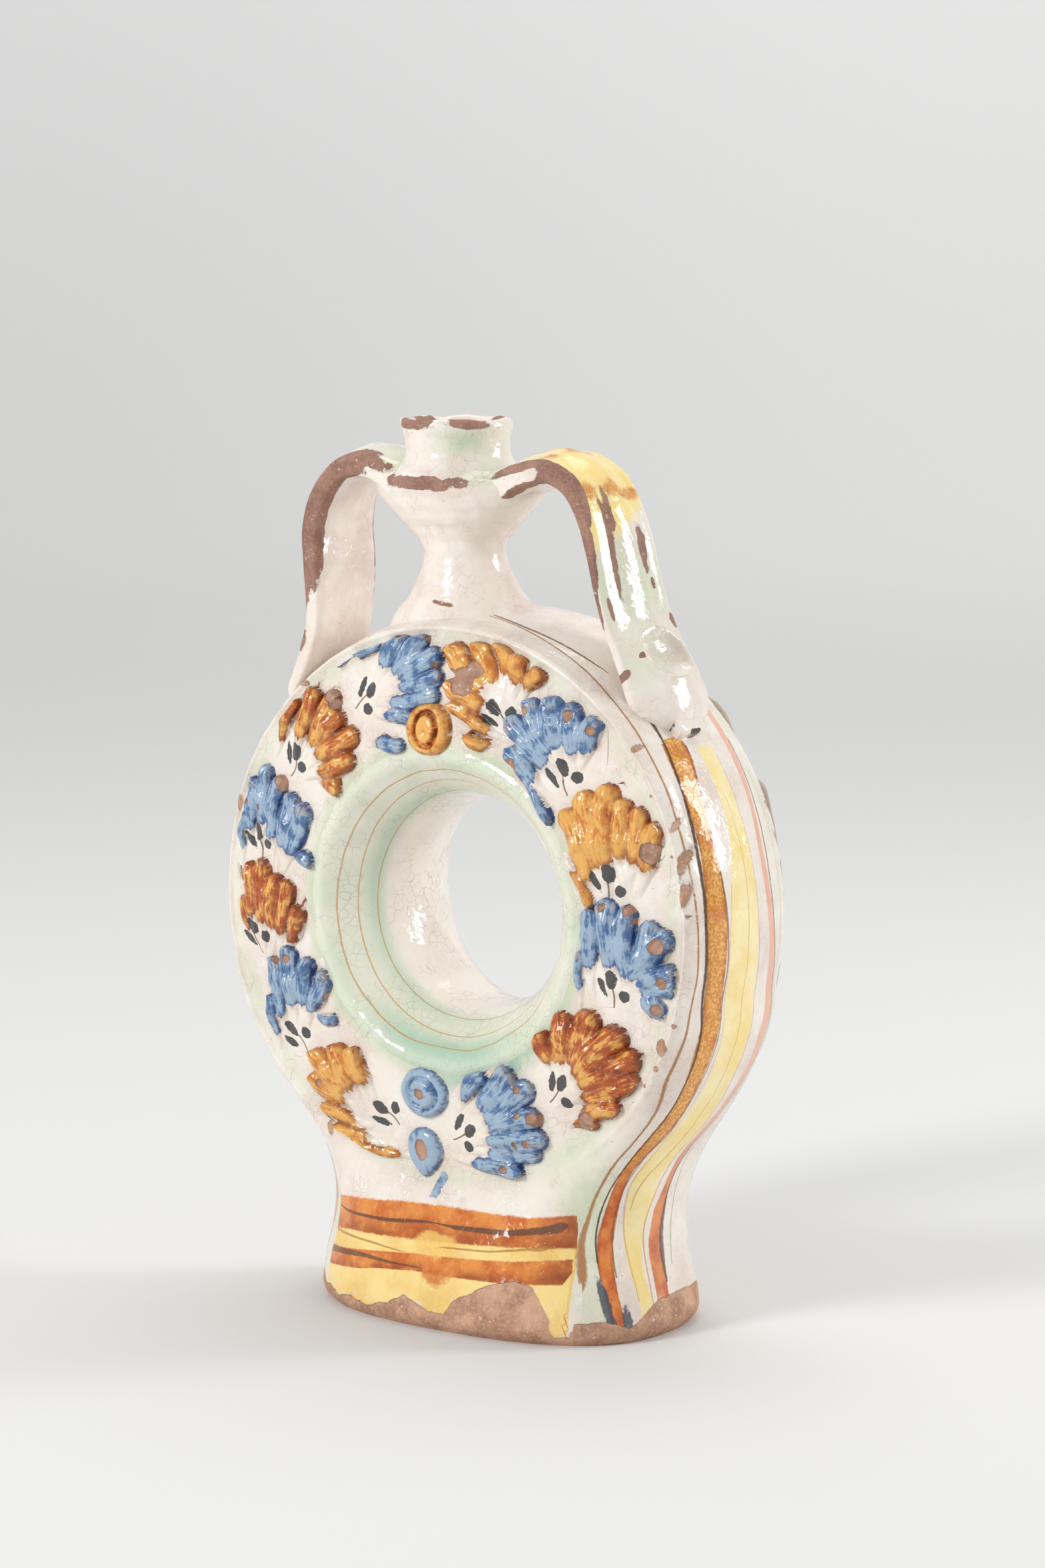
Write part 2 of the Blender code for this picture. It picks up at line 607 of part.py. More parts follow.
def thumb_print(name, row, guides):
    """The ball that presses the thumb print into the foot of a handle, over one row of its route."""
    bm = bmesh.new()
    bmesh.ops.create_uvsphere(bm, u_segments=18, v_segments=10, radius=THUMB_RADIUS)
    made = add_object("thumb " + name, bm, guides)
    x, z, thickness = strap_point(row)
    turn, reach = math.atan2(x, z - RING_HEIGHT), math.hypot(x, z - RING_HEIGHT)
    made.location = on_ring(turn, reach + (thickness + STRAP_CROWN) / 2 + THUMB_RADIUS - THUMB_DEPTH)
    made.location.y += THUMB_OFFSET_Y
    return made


def cord_lug(name, route, home, guides, material):
    """A small pierced pad for the carrying cord, luted on below the end of a handle's route."""
    x, z, thickness = strap_point(route[-1])
    turn = math.atan2(x, z - RING_HEIGHT)
    turn += math.copysign((LUG_GAP + LUG_LENGTH / 2) / RING_CREST_RADIUS, turn)
    bm = bmesh.new()
    bmesh.ops.create_cube(bm, size=1)
    bmesh.ops.scale(bm, vec=(LUG_LENGTH, LUG_WIDTH, LUG_HEIGHT * 2), verts=bm.verts)
    lug = add_object(name, bm, home, material)
    lug.location = on_ring(turn, RING_CREST_RADIUS)
    lug.rotation_euler = (0, turn, 0)
    rounding = lug.modifiers.new("rounding", "BEVEL")
    rounding.width = LUG_ROUNDING
    rounding.segments = 3
    bm = bmesh.new()
    bmesh.ops.create_cone(bm, cap_ends=True, segments=12, radius1=LUG_HOLE_RADIUS, radius2=LUG_HOLE_RADIUS,
                          depth=LUG_WIDTH * 2)
    bmesh.ops.rotate(bm, cent=(0, 0, 0), matrix=Matrix.Rotation(math.pi / 2, 3, "X"), verts=bm.verts)
    hole = add_object("hole " + name, bm, guides)
    hole.location = on_ring(turn, RING_CREST_RADIUS + LUG_HEIGHT * LUG_HOLE_SHARE)
    cut(lug, hole)
    return lug


# Sprigs are laid out flat as (across, forward) from the calyx and then set on the face

def face_height(x, z):
    """Half thickness of the flask on the plain field under the garland."""
    return face_depth(x, z, field_depth(math.hypot(x, z - RING_HEIGHT)))


def within_field(x, z):
    """Draw a point in, where a leaf would run over the lip or the rolled edge."""
    radius = math.hypot(x, z - RING_HEIGHT)
    low, high = LEAF_FREE_RADII
    free = min(max(radius, low), high)
    share = (free + (radius - free) * LEAF_SQUEEZE_SHARE) / radius
    return x * share, RING_HEIGHT + (z - RING_HEIGHT) * share


def pressed_relief(outline, heights, edge_height, place, facing):
    """A closed relief: rings of points shrink from the outline to the middle, over a bed that follows the face."""
    bm = bmesh.new()
    count = len(outline)

    def set_down(across, forward, height):
        x, z = place(across, forward)
        return bm.verts.new((-facing * x, facing * (face_height(x, z) + JOINT + height), z))

    rings = [[set_down(a * share, f * share, height(turn)) for turn, (a, f) in enumerate(outline)]
             for share, height in heights]
    top = set_down(0, 0, edge_height)
    bed = [set_down(a, f, 0) for a, f in outline]
    bed_centre = set_down(0, 0, 0)
    for side in range(count):
        following = (side + 1) % count
        bm.faces.new((top, rings[0][side], rings[0][following]))
        for low, high in zip(rings, rings[1:]):
            bm.faces.new((low[side], high[side], high[following], low[following]))
        bm.faces.new((rings[-1][side], bed[side], bed[following], rings[-1][following]))
        bm.faces.new((bed[side], bed_centre, bed[following]))
    return bm


def leaf_outline(pitch):
    """Lobed edge of a leaf as (across, forward) points, with how far each stands on the crest of its lobe."""
    points, crests = [], []
    longest = max(reach for bearing, reach in LEAF_LOBE_SHARES)
    for place, (bearing, reach) in enumerate(LEAF_LOBE_SHARES):
        next_bearing, next_reach = LEAF_LOBE_SHARES[(place + 1) % len(LEAF_LOBE_SHARES)]
        gap = (next_bearing - bearing) % 360
        for share, crest in ((0, 1), (0.27, 0.7), (0.5, 0), (0.73, 0.7)):
            valley = 1 - (1 - LEAF_VALLEY_SHARE) * (1 - crest)
            distance = (reach + (next_reach - reach) * share) * valley * FIELD_WIDTH
            turn = math.radians(bearing + gap * share)
            forward = distance * math.cos(turn)
            if forward > 0:
                forward *= (pitch - LEAF_STEM) / (longest * FIELD_WIDTH)
            points.append((distance * math.sin(turn), forward))
            crests.append(crest)
    return points, crests


def leaf(name, clock_degrees, pitch_degrees, side, facing, home, material):
    """One leaf sprig, as long as its share of the garland; side is 1 for the right half and -1 for the left."""
    turn = math.radians(clock_degrees) * side
    outline, crests = leaf_outline(math.radians(pitch_degrees) * GARLAND_RADIUS)

    def place(across, forward):
        # forward climbs towards the top of the ring, across points away from its middle
        here, radius = turn - side * forward / GARLAND_RADIUS, GARLAND_RADIUS + across
        return within_field(GARLAND_SHIFT + radius * math.sin(here), RING_HEIGHT + radius * math.cos(here))

    def mid_height(point):
        return LEAF_CENTRE_RELIEF + (LEAF_RELIEF - LEAF_CENTRE_RELIEF) * 0.5 * crests[point]

    def full_height(point):
        forward = max(math.cos(math.atan2(*outline[point])), 0)
        return LEAF_RELIEF * (0.5 + 0.25 * crests[point] + 0.25 * forward)

    def rim_height(point):
        return LEAF_EDGE_RELIEF * (0.5 + 0.5 * crests[point])

    heights = [(LEAF_RING_SHARES[0], mid_height), (LEAF_RING_SHARES[1], full_height), (1, rim_height)]
    bm = pressed_relief(outline, heights, LEAF_CENTRE_RELIEF, place, facing)
    return add_object(name, bm, home, material)


def boss(name, clock_degrees, radius, size, relief, dimple, facing, home, material):
    """A round pressed boss with a hollow middle."""
    turn = math.radians(clock_degrees)
    centre = (radius * math.sin(turn), RING_HEIGHT + radius * math.cos(turn))
    outline = [(size * math.sin(2 * math.pi * step / BOSS_SIDES), size * math.cos(2 * math.pi * step / BOSS_SIDES))
               for step in range(BOSS_SIDES)]
    heights = [(0.3, lambda point: relief - dimple), (0.62, lambda point: relief),
               (0.9, lambda point: relief * 0.75), (1, lambda point: relief * 0.3)]
    bm = pressed_relief(outline, heights, relief - dimple * 1.2,
                        lambda across, forward: (centre[0] + across, centre[1] + forward), facing)
    return add_object(name, bm, home, material)


def garland(face, facing, home):
    blue, orange = glaze(face + " cobalt glaze", COBALT), glaze(face + " ochre glaze", OCHRE)
    halves = (("right", 1, RIGHT_LEAF_CLOCK_DEGREES, (orange, blue)), ("left", -1, LEFT_LEAF_CLOCK_DEGREES, (blue, orange)))
    for (half, side, clocks, colours), top_pitch in zip(halves, LEAF_TOP_PITCH_DEGREES):
        pitches = [top_pitch] + [low - high for high, low in zip(clocks, clocks[1:])]
        for place, (clock, pitch) in enumerate(zip(clocks, pitches)):
            leaf(f"leaf_{face}_{half}_{place + 1}", clock, pitch, side, facing, home, colours[place % 2])
    for label, clock, colour in (("top", BOSS_CLOCK_DEGREES[0], orange), ("bottom", BOSS_CLOCK_DEGREES[1], blue)):
        boss(f"boss_{face}_{label}", clock, BOSS_CENTRE_RADIUS, BOSS_RADIUS, BOSS_RELIEF, BOSS_DIMPLE,
             facing, home, colour)
    boss(f"boss_{face}_drop", BOSS_CLOCK_DEGREES[1], DROP_CENTRE_RADIUS, DROP_RADIUS, DROP_RELIEF, 0,
         facing, home, blue)


def main():
    clear_scene()
    flask = collection("ring flask")
    guides = collection("ring flask cutters")
    cream = glaze("cream tin glaze", CREAM)
    shade = glaze("cream glaze in the bore", CREAM_SHADE)
    worn = glaze("worn cream glaze", CREAM, 0.3)

    face_wall("front_wall", -1, flask, cream)
    face_wall("back_wall", 1, flask, cream)
    band = side_band(flask, cream)
    bore_tube(flask, shade)
    foot_sole(flask, glaze("bare clay", BARE_CLAY, 0.8))

    ring = ring_envelope(guides)
    throat_solid = neck_envelope(guides)
    cut(band, channel_cutter(guides))
    neck = throat("neck", NECK_STATIONS, flask, cream)
    cut(neck, ring)
    throat("spout", SPOUT_STATIONS, flask, worn)

    for side, route in (("left", LEFT_STRAP_SHARES), ("right", RIGHT_STRAP_SHARES)):
        handle = strap_handle("handle_" + side, route, flask, worn)
        cut(handle, throat_solid)
        cut(handle, ring)
        cut(handle, thumb_print(side, route[-2], guides))
        cut(cord_lug("cord_lug_" + side, route, flask, guides, worn), ring)

    garland("front", -1, flask)
    garland("back", 1, flask)


main()
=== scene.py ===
import math
import bpy
import numpy as np
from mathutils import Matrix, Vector


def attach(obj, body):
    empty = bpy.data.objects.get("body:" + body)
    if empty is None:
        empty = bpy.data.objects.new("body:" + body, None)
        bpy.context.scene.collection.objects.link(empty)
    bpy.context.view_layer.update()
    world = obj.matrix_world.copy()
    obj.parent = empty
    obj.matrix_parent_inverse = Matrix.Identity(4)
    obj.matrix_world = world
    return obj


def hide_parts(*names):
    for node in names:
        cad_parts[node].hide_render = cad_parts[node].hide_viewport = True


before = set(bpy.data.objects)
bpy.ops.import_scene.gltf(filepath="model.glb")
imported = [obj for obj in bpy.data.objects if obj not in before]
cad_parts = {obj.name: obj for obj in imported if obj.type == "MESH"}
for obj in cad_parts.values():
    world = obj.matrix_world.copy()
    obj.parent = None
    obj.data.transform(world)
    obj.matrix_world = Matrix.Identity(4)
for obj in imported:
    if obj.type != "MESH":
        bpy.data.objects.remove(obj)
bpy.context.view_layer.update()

mm = 0.001  # shapes are worked out in millimetres and put down in metres
offMark = 99.0  # a painted line's field where the line isn't
noPatch = -3.0  # a chip's or patch's field where there is none, in millimetres


# number helpers

def smoothStep(value, low, high):  # an s-curve from 0 at low to 1 at high
    share = np.clip((value - low) / (high - low), 0, 1)
    return share * share * (3 - 2 * share)


def hump(value, centre, width):  # a bell of height 1
    return np.exp(-((value - centre) / width) ** 2)


def curveThrough(at, keys, values):
    # a smooth line through keys: in each stretch a cubic whose end slopes come from the neighbouring keys
    keys, values = np.asarray(keys, float), np.asarray(values, float)
    at = np.clip(np.asarray(at, float), keys[0], keys[-1])
    slopes = np.gradient(values, keys, axis=0)
    low = np.clip(np.searchsorted(keys, at, side="right") - 1, 0, len(keys) - 2)
    span = keys[low + 1] - keys[low]
    share = (at - keys[low]) / span
    if values.ndim > 1:
        share, span = share[..., None], span[..., None]
    square, cube = share ** 2, share ** 3
    return ((2 * cube - 3 * square + 1) * values[low] + (cube - 2 * square + share) * span * slopes[low]
            + (3 * square - 2 * cube) * values[low + 1] + (cube - square) * span * slopes[low + 1])


latticeSide = 32
lattice = np.random.default_rng(11).random((latticeSide,) * 3) * 2 - 1


def lumps(points, size, seed=0, layers=2):
    # soft random height from -1 to 1: lattice values joined by s-curves, each layer half as large and heavy
    total, weights = 0, 0
    for layer in range(layers):
        place = points / size * 2 ** layer + seed * 5.37 + layer * 3.1
        corner = np.floor(place).astype(int)
        share = place - corner
        share = share * share * (3 - 2 * share)
        value = 0
        for step in np.ndindex(2, 2, 2):
            weight = np.where(step, share, 1 - share).prod(axis=-1)
            value = value + weight * lattice[tuple(np.moveaxis((corner + step) % latticeSide, -1, 0))]
        total = total + value * 0.5 ** layer
        weights += 0.5 ** layer
    return total / weights


def unit(vectors):  # each vector over its length
    return vectors / np.maximum(np.linalg.norm(vectors, axis=-1, keepdims=True), 1e-9)


def lengthAlong(points):  # the way to each point over the straight stretches before it
    return np.concatenate([[0], np.cumsum(np.hypot(*np.diff(points, axis=0).T))])


def roundTurn(count):  # even angles round a full turn, one to a row
    return np.linspace(0, 2 * math.pi, count, endpoint=False)[:, None]


def boxed(value, power):  # a sine or cosine made squarer: its sign times its size to a power below 1
    return np.sign(value) * np.abs(value) ** power


def stepsAlong(grid, axis, closed):  # differences between neighbours on a grid of points
    if closed:
        return np.roll(grid, -1, axis) - np.roll(grid, 1, axis)
    return np.gradient(grid, axis=axis)


def turnedTo(normals, towards):  # the whole sheet's normals the other way round if they point against towards
    return normals * (1 if (normals * towards).sum() > 0 else -1)


def facing(grid, towards, closed=False):
    # a grid's normals: the run along its rows crossed with the run along its columns
    return turnedTo(unit(np.cross(stepsAlong(grid, 0, closed), stepsAlong(grid, 1, False))), towards)


def acrossLine(at, value, rows, beyond=offMark, join=curveThrough):
    # -1 to 1 across a line given by rows of place, middle and half width: (value - middle) / half width
    rows = np.array(rows, float)
    middle, half = (join(at, rows[:, 0], rows[:, column]) for column in (1, 2))
    return np.where((at >= rows[0, 0]) & (at <= rows[-1, 0]), (value - middle) / half, beyond)


def fromEdges(rows):  # rows of place, near edge and far edge as rows of place, middle and half width
    place, near, far = np.array(rows, float).T
    return np.stack([place, (near + far) / 2, (far - near) / 2], 1)


def deepestOval(places, marks, power=2):
    # each mark is centres, half widths and depth: its depth times 1 less the distance counted in half widths
    deepest, axes = np.full(places[0].shape, noPatch), len(places)
    for mark in marks:
        spans = sum(np.abs((place - centre) / half) ** power
                    for place, centre, half in zip(places, mark[:axes], mark[axes:]))
        deepest = np.maximum(deepest, (1 - spans ** (1 / power)) * mark[-1])
    return deepest


# from grids to pieces

def quadsOf(rows, columns, closed=False):  # four neighbours to a face; closed joins the last row to the first
    index = np.arange(rows * columns).reshape(rows, columns)
    index = np.concatenate([index, index[:1]]) if closed else index
    return np.stack([index[:-1, :-1], index[1:, :-1], index[1:, 1:], index[:-1, 1:]], -1).reshape(-1, 4)


def placed(name, data):  # a new object in the scene, at the origin
    made = bpy.data.objects.new(name, data)
    bpy.context.scene.collection.objects.link(made)
    return made


def putDown(name, grid, normals, material, node, closed=False, keep=None, fields=None, uv=None, caps=()):
    # grid is (rows, columns, xyz); each four neighbours make a face that looks along the normals
    flat, straight = grid.reshape(-1, 3), normals.reshape(-1, 3)
    quads = quadsOf(*grid.shape[:2], closed)
    corners = flat[quads]
    turned = np.cross(corners[:, 2] - corners[:, 0], corners[:, 3] - corners[:, 1])
    flip = (turned * straight[quads[:, 0]]).sum() < 0
    if flip:
        quads = quads[:, ::-1]
    used, faces = np.arange(len(flat)), quads.tolist()
    if keep is not None:  # only faces that touch a kept point
        used, renumbered = np.unique(quads[keep.ravel()[quads].any(axis=1)], return_inverse=True)
        faces = renumbered.reshape(-1, 4).tolist()
    for column in caps:  # a flat face that closes a column of a closed grid
        loop = used.reshape(grid.shape[:2])[:, column].tolist()
        faces.append(loop if (column == 0) != flip else loop[::-1])
    mesh = bpy.data.meshes.new(name)
    mesh.from_pydata((flat[used] * mm).tolist(), [], faces)
    mesh.shade_smooth()
    for field, values in (fields or {}).items():
        layer = mesh.attributes.new(field, "FLOAT", "POINT")
        layer.data.foreach_set("value", np.ascontiguousarray(values.ravel()[used], dtype=np.float32))
    if uv is not None:
        loops = np.empty(len(mesh.loops), dtype=np.int32)
        mesh.loops.foreach_get("vertex_index", loops)
        places = uv.reshape(-1, 2)[used][loops].astype(np.float32)
        mesh.uv_layers.new(name="stroke").data.foreach_set("uv", places.ravel())
    mesh.materials.append(material)
    if not len(caps):
        mesh.normals_split_custom_set_from_vertices(straight[used].tolist())
    piece = placed(name, mesh)
    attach(piece, "root")
    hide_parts(node)


# glazes and clay, in screen colours

palette = dict(
    cream=(239, 230, 219), pinkCream=(229, 213, 202), whiteCream=(247, 243, 237), green=(196, 210, 176),
    teal=(150, 194, 172), crackle=(150, 140, 128), speck=(122, 92, 78), rubbed=(226, 212, 200),
    ochreLight=(230, 174, 92), ochre=(204, 124, 54), ochreDark=(128, 60, 30), ochreRed=(178, 84, 34),
    ochreGrain=(246, 206, 130), ochreSpeck=(240, 178, 90), ochreStrap=(214, 120, 40),
    yellow=(246, 218, 136), yellowDeep=(236, 194, 100), yellowSide=(248, 222, 142), yellowPale=(250, 234, 180),
    yellowStrap=(248, 228, 160), yellowLap=(240, 196, 108),
    rust=(228, 144, 70), rustDeep=(202, 104, 44), rustGrain=(240, 178, 96), rustLow=(150, 66, 26),
    rustEnd=(142, 66, 34), rustSide=(210, 134, 52), rustSideGrain=(240, 188, 104),
    rustSideCloud=(206, 116, 44), rustFoot=(226, 138, 66), rustFootDeep=(196, 92, 40), rustEdge=(150, 78, 26),
    pink=(232, 176, 150),
    cobaltPale=(156, 178, 199), cobalt=(78, 112, 156), cobaltDark=(40, 68, 122), cobaltStreak=(170, 196, 214),
    cobaltThin=(182, 164, 152), ink=(66, 74, 90), petalBlack=(54, 55, 58), stem=(104, 66, 40),
    # hole is the painted shade inside the lugs' holes and the colour of the crack beside them
    # leafDirtAndShade is partly dirt and pooled glaze round the leaves, partly painted shade where their
    # relief meets the face
    leafDirtAndShade=(188, 164, 138), neckLine=(128, 82, 44), hole=(46, 36, 30), lime=(226, 216, 208),
    clay=(210, 166, 138), clayPale=(228, 194, 166), clayDark=(166, 124, 100), clayEdge=(132, 98, 82),
    chip=(188, 148, 126), chipPale=(212, 178, 156), chipDark=(152, 114, 94),
    wornDark=(136, 100, 86), worn=(164, 124, 107), wornPale=(192, 154, 134))


def linear(*screen):  # a screen colour of 0 to 255 as Blender's linear one
    return tuple(v / 12.92 if v <= 0.04045 else ((v + 0.055) / 1.055) ** 2.4
                 for v in np.array(screen) / 255) + (1,)


paint = {name: linear(*colour) for name, colour in palette.items()}


class glazeTree:
    # short words for the nodes that every glaze here is made of
    def __init__(self, name):
        self.material = bpy.data.materials.new(name)
        self.material.use_nodes = True
        self.tree = self.material.node_tree
        self.shader = self.tree.nodes["Principled BSDF"]
        self.place = self.make("TexCoord", out="Object")

    def feed(self, socket, value):  # a link from a node's output, or a number or a colour named in the palette
        if isinstance(value, bpy.types.NodeSocket):
            self.tree.links.new(value, socket)
        elif value is not None:
            socket.default_value = paint.get(value, value)

    def make(self, kind, *inputs, out=0, named=None, **settings):  # a node with inputs in order and by name
        node = self.tree.nodes.new("ShaderNode" + kind)
        for setting, value in settings.items():
            setattr(node, setting, value)
        for socket, value in [*enumerate(inputs), *(named or {}).items()]:
            self.feed(node.inputs[socket], value)
        return node.outputs[out]

    def sum(self, a, b):
        return self.make("Math", a, b, operation="ADD")

    def less(self, a, b):
        return self.make("Math", a, b, operation="SUBTRACT")

    def times(self, a, b):
        return self.make("Math", a, b, operation="MULTIPLY")

    def most(self, a, b):
        return self.make("Math", a, b, operation="MAXIMUM")

    def size(self, a):
        return self.make("Math", a, operation="ABSOLUTE")

    def field(self, name):
        return self.make("Attribute", attribute_name=name, out="Fac")

    def ramp(self, value, low, high, start=0.0, end=1.0):  # start at low to end at high by an s-curve
        return self.make("MapRange", value, low, high, start, end, interpolation_type="SMOOTHSTEP")

    def blend(self, share, a, b):  # between two numbers
        return self.make("Mix", share, None, a, b)

    def mix(self, share, under, over):  # between two colours
        return self.make("Mix", named={0: share, 6: under, 7: over}, out=2, data_type="RGBA")

    def cloud(self, millimetres, detail=3.0, rough=0.55, place=None):  # noise; a given place is in millimetres
        scale = 1000 / millimetres if place is None else 1 / millimetres
        return self.make("TexNoise", named={"Vector": place or self.place, "Scale": scale, "Detail": detail,
                                            "Roughness": rough})

    def swing(self, millimetres, reach, detail=2.0):  # a cloud between -reach and reach
        return self.times(self.less(self.cloud(millimetres, detail), 0.5), reach * 2)

    def drift(self, millimetres, detail, low, high, start=0.0, end=1.0, rough=0.55):  # a cloud as a share
        return self.ramp(self.cloud(millimetres, detail, rough), low, high, start, end)

    def clouded(self, under, over, millimetres, detail, low, high, most=1.0, rough=0.55):
        # one colour laid in clouds over another
        return self.mix(self.drift(millimetres, detail, low, high, 0.0, most, rough), under, over)

    def cells(self, millimetres, feature, place=None):
        return self.make("TexVoronoi", feature=feature, named={"Vector": place or self.place,
                                                               "Scale": 1000 / millimetres})

    def finish(self, colour, rough, height, depth=0.00035, strength=1.0):  # depth of the bump in metres
        bump = self.make("Bump", named={"Strength": strength, "Distance": depth, "Height": height})
        for socket, value in {"Normal": bump, "Base Color": colour, "Roughness": rough, "IOR": 1.52}.items():
            self.feed(self.shader.inputs[socket], value)
        return self.material


def claySkin(n, tones=("clayDark", "clay", "clayPale")):
    # bare fired clay: brown to pink clouds, grains, pits and specks of lime; returns its colour and height
    clouds, grain = n.cloud(9, 5, 0.6), n.cloud(1.1, 4, 0.7)
    colour = n.mix(n.ramp(clouds, 0.35, 0.68), tones[0], tones[1])
    colour = n.mix(n.ramp(grain, 0.45, 0.75, 0, 0.6), colour, tones[2])
    colour = n.clouded(colour, "lime", 2.6, 3, 0.66, 0.74, 0.75, 0.6)
    return colour, n.sum(n.times(grain, 0.8), n.times(clouds, 0.7))


def creamGround(n, crackle=0.3):
    # tin glaze: cream clouded with pink and white, a green cast by field, fine crackle and dark specks
    colour = n.clouded("cream", "pinkCream", 26, 4, 0.38, 0.66)
    colour = n.clouded(colour, "whiteCream", 7, 4, 0.45, 0.75, 0.5)
    colour = n.mix(n.times(n.field("greenCast"), n.drift(11, 3, 0.25, 0.6, 0.45, 1.0)), colour, "green")
    wave = n.make("VectorMath", n.make("TexNoise", n.place, None, 300.0, 2.0, out=1), (0.0016, 0.0016, 0.0016),
                  operation="MULTIPLY")
    web = n.ramp(n.cells(3.8, "DISTANCE_TO_EDGE", n.make("VectorMath", n.place, wave, operation="ADD")),
                 0.006, 0.035, 1, 0)
    web = n.times(web, n.drift(13, 3, 0.42, 0.62))
    colour = n.mix(n.times(web, crackle), colour, "crackle")
    specks = n.times(n.ramp(n.cells(2.4, "F1"), 0.06, 0.11, 1, 0), n.drift(5, 2, 0.55, 0.6))
    return n.mix(n.times(specks, 0.65), colour, "speck"), web


def stripe(n, colour, field, tone, ragged=0.12, strength=1.0, softness=0.08):
    # a painted band where a field runs from -1 to 1 across it, its edges ragged by noise
    across = n.sum(n.size(n.field(field)), n.swing(1.6, ragged))
    return n.mix(n.ramp(across, 1 - softness, 1 + softness, strength, 0), colour, tone)


def patch(n, colour, field, tone, ragged=0.4, strength=1.0, softness=0.15):
    # a painted patch where a field, in millimetres, is above 0
    inside = n.sum(n.field(field), n.swing(1.5, ragged, 3))
    return n.mix(n.ramp(inside, -softness, softness, 0, strength), colour, tone)


def ochreTone(n):
    # ochre brushed over the glaze: yellow to rust clouds with a granular break-up
    colour = n.clouded("ochreLight", "ochre", 6, 4, 0.35, 0.65, 1.0, 0.6)
    colour = n.clouded(colour, "ochreDark", 3, 4, 0.52, 0.72, 0.8, 0.65)
    return n.clouded(colour, "ochreGrain", 0.9, 2, 0.5, 0.68, 0.4, 0.5)


def glazeOver(n, colour, web, gloss=0.07, wave=1.0, tones=("clayDark", "clay", "clayPale"), thin=0.0,
              grain=0.12):
    # the glaze's own surface: orange peel, crackle, and bare clay lower down where it is chipped
    peel = n.sum(n.times(n.cloud(5.5, 2, 0.4), 1.2 * wave), n.times(n.cloud(1.3, 2, 0.5), grain))
    height = n.less(peel, n.times(web, 0.12))
    rough = n.drift(4, 3, 0.3, 0.75, gloss, gloss + 0.07)
    bare = n.sum(n.sum(n.field("bareClay"), n.swing(2.4, 0.5, 4)), n.swing(0.7, 0.3, 3))
    shown = n.ramp(bare, -0.06, 0.06)
    if thin:  # glaze rubbed thin and whitish just above the bare clay
        rubbed = n.times(n.ramp(n.field("bareClay"), -2.6, -0.2), n.drift(3.4, 4, 0.5, 0.6, 0, thin, 0.7))
        colour = n.mix(rubbed, colour, "rubbed")
        rough = n.blend(rubbed, rough, 0.6)
    clay, clayHeight = claySkin(n, tones)
    colour = n.mix(n.times(n.ramp(n.size(bare), 0.0, 0.4, 1, 0), 0.55), colour, "clayEdge")
    height = n.blend(shown, n.sum(height, 1.1), n.times(clayHeight, 0.9))
    return n.finish(n.mix(shown, colour, clay), n.blend(shown, rough, 0.82), height)


# body: the ring, its foot and the band round it

ring = dict(height=139.5, edge=96.0, crest=98.5, edgeDepth=23.4, lip=54.4, field=88.0,
            fieldDepth=31.0, slopeEnd=90.6, waist=34.2, hollow=0.9, wornFoot=3.4,
            stations=470, baseColumns=64, fieldRows=24, borderRows=44, bandRows=56, boreRows=64,
            lumpSize=21.0, lumpHeight=0.32, fineHeight=0.08)
shownRoll = dict(power=6.5, ridge=93.8, rise=1.1)  # how late the face rolls over, and where its ridge stands
backRoll = dict(power=3.0, ridge=91.0, rise=0.6)
# foot: height, half width, half depth, how square, depth of its front corner
footRows = np.array([(0, 68, 45.3, 2.5, 33.5), (8, 67.4, 44.6, 2.5, 32.8), (17, 66, 43, 2.5, 31.2),
                     (27, 64.3, 40.6, 2.5, 29.6), (37, 63.6, 38.2, 2.6, 28), (46, 64.7, 36.4, 2.9, 26.4),
                     (54, 67.1, 35, 3.3, 25), (63, 71.7, 33.8, 3.9, 24.2), (73, 78.7, 32.6, 4.6, 23.8),
                     (84, 85.8, 31.8, 5.4, 23.5), (96, 91.7, 31.3, 6.2, 23.4), (108, 95.0, 31, 6.6, 23.4)])
footShift = 2.4


def ovalReach(place, length, height, squareness):  # the other half axis of |x/a|^n + |y/b|^n = 1
    return height * np.maximum(1 - np.minimum(np.abs(place) / length, 1) ** squareness, 0) ** (1 / squareness)


def footAt(z, column):  # a column of the foot's rows at a height, joined smoothly
    return curveThrough(np.clip(z, 0, 108), footRows[:, 0], footRows[:, column])


def footLean(z):  # how far the foot stands to the right, fading out by an s-curve
    return footShift * (1 - smoothStep(z, 41.85, 97.65))


def ringBlend(z):  # 1 on the foot to 0 on the ring
    return 1 - smoothStep(z, 30, 116)


def fieldDepth(radius):  # the field's depth, rising evenly from the edge of the slope towards the bore
    return ring["fieldDepth"] + np.maximum(3.4 * (ring["slopeEnd"] - radius) / 36.2, 0)


def faceDepth(x, z, ringDeep):  # the ring's depth, handed over to the foot's oval below
    radius = np.hypot(x, z - ring["height"])
    share = smoothStep(radius, 88, 110) * (1 - smoothStep(z, 83.7, 108))
    foot = ovalReach(x - footLean(z), footAt(z, 1), footAt(z, 2), footAt(z, 3))
    return ringDeep + (foot - ringDeep) * share


def plainDepth(x, z):  # the field under the garland, with a shallow hollow round it
    radius = np.hypot(x, z - ring["height"])
    return faceDepth(x, z, fieldDepth(radius) - ring["hollow"] * hump(radius, 84.5, 6))


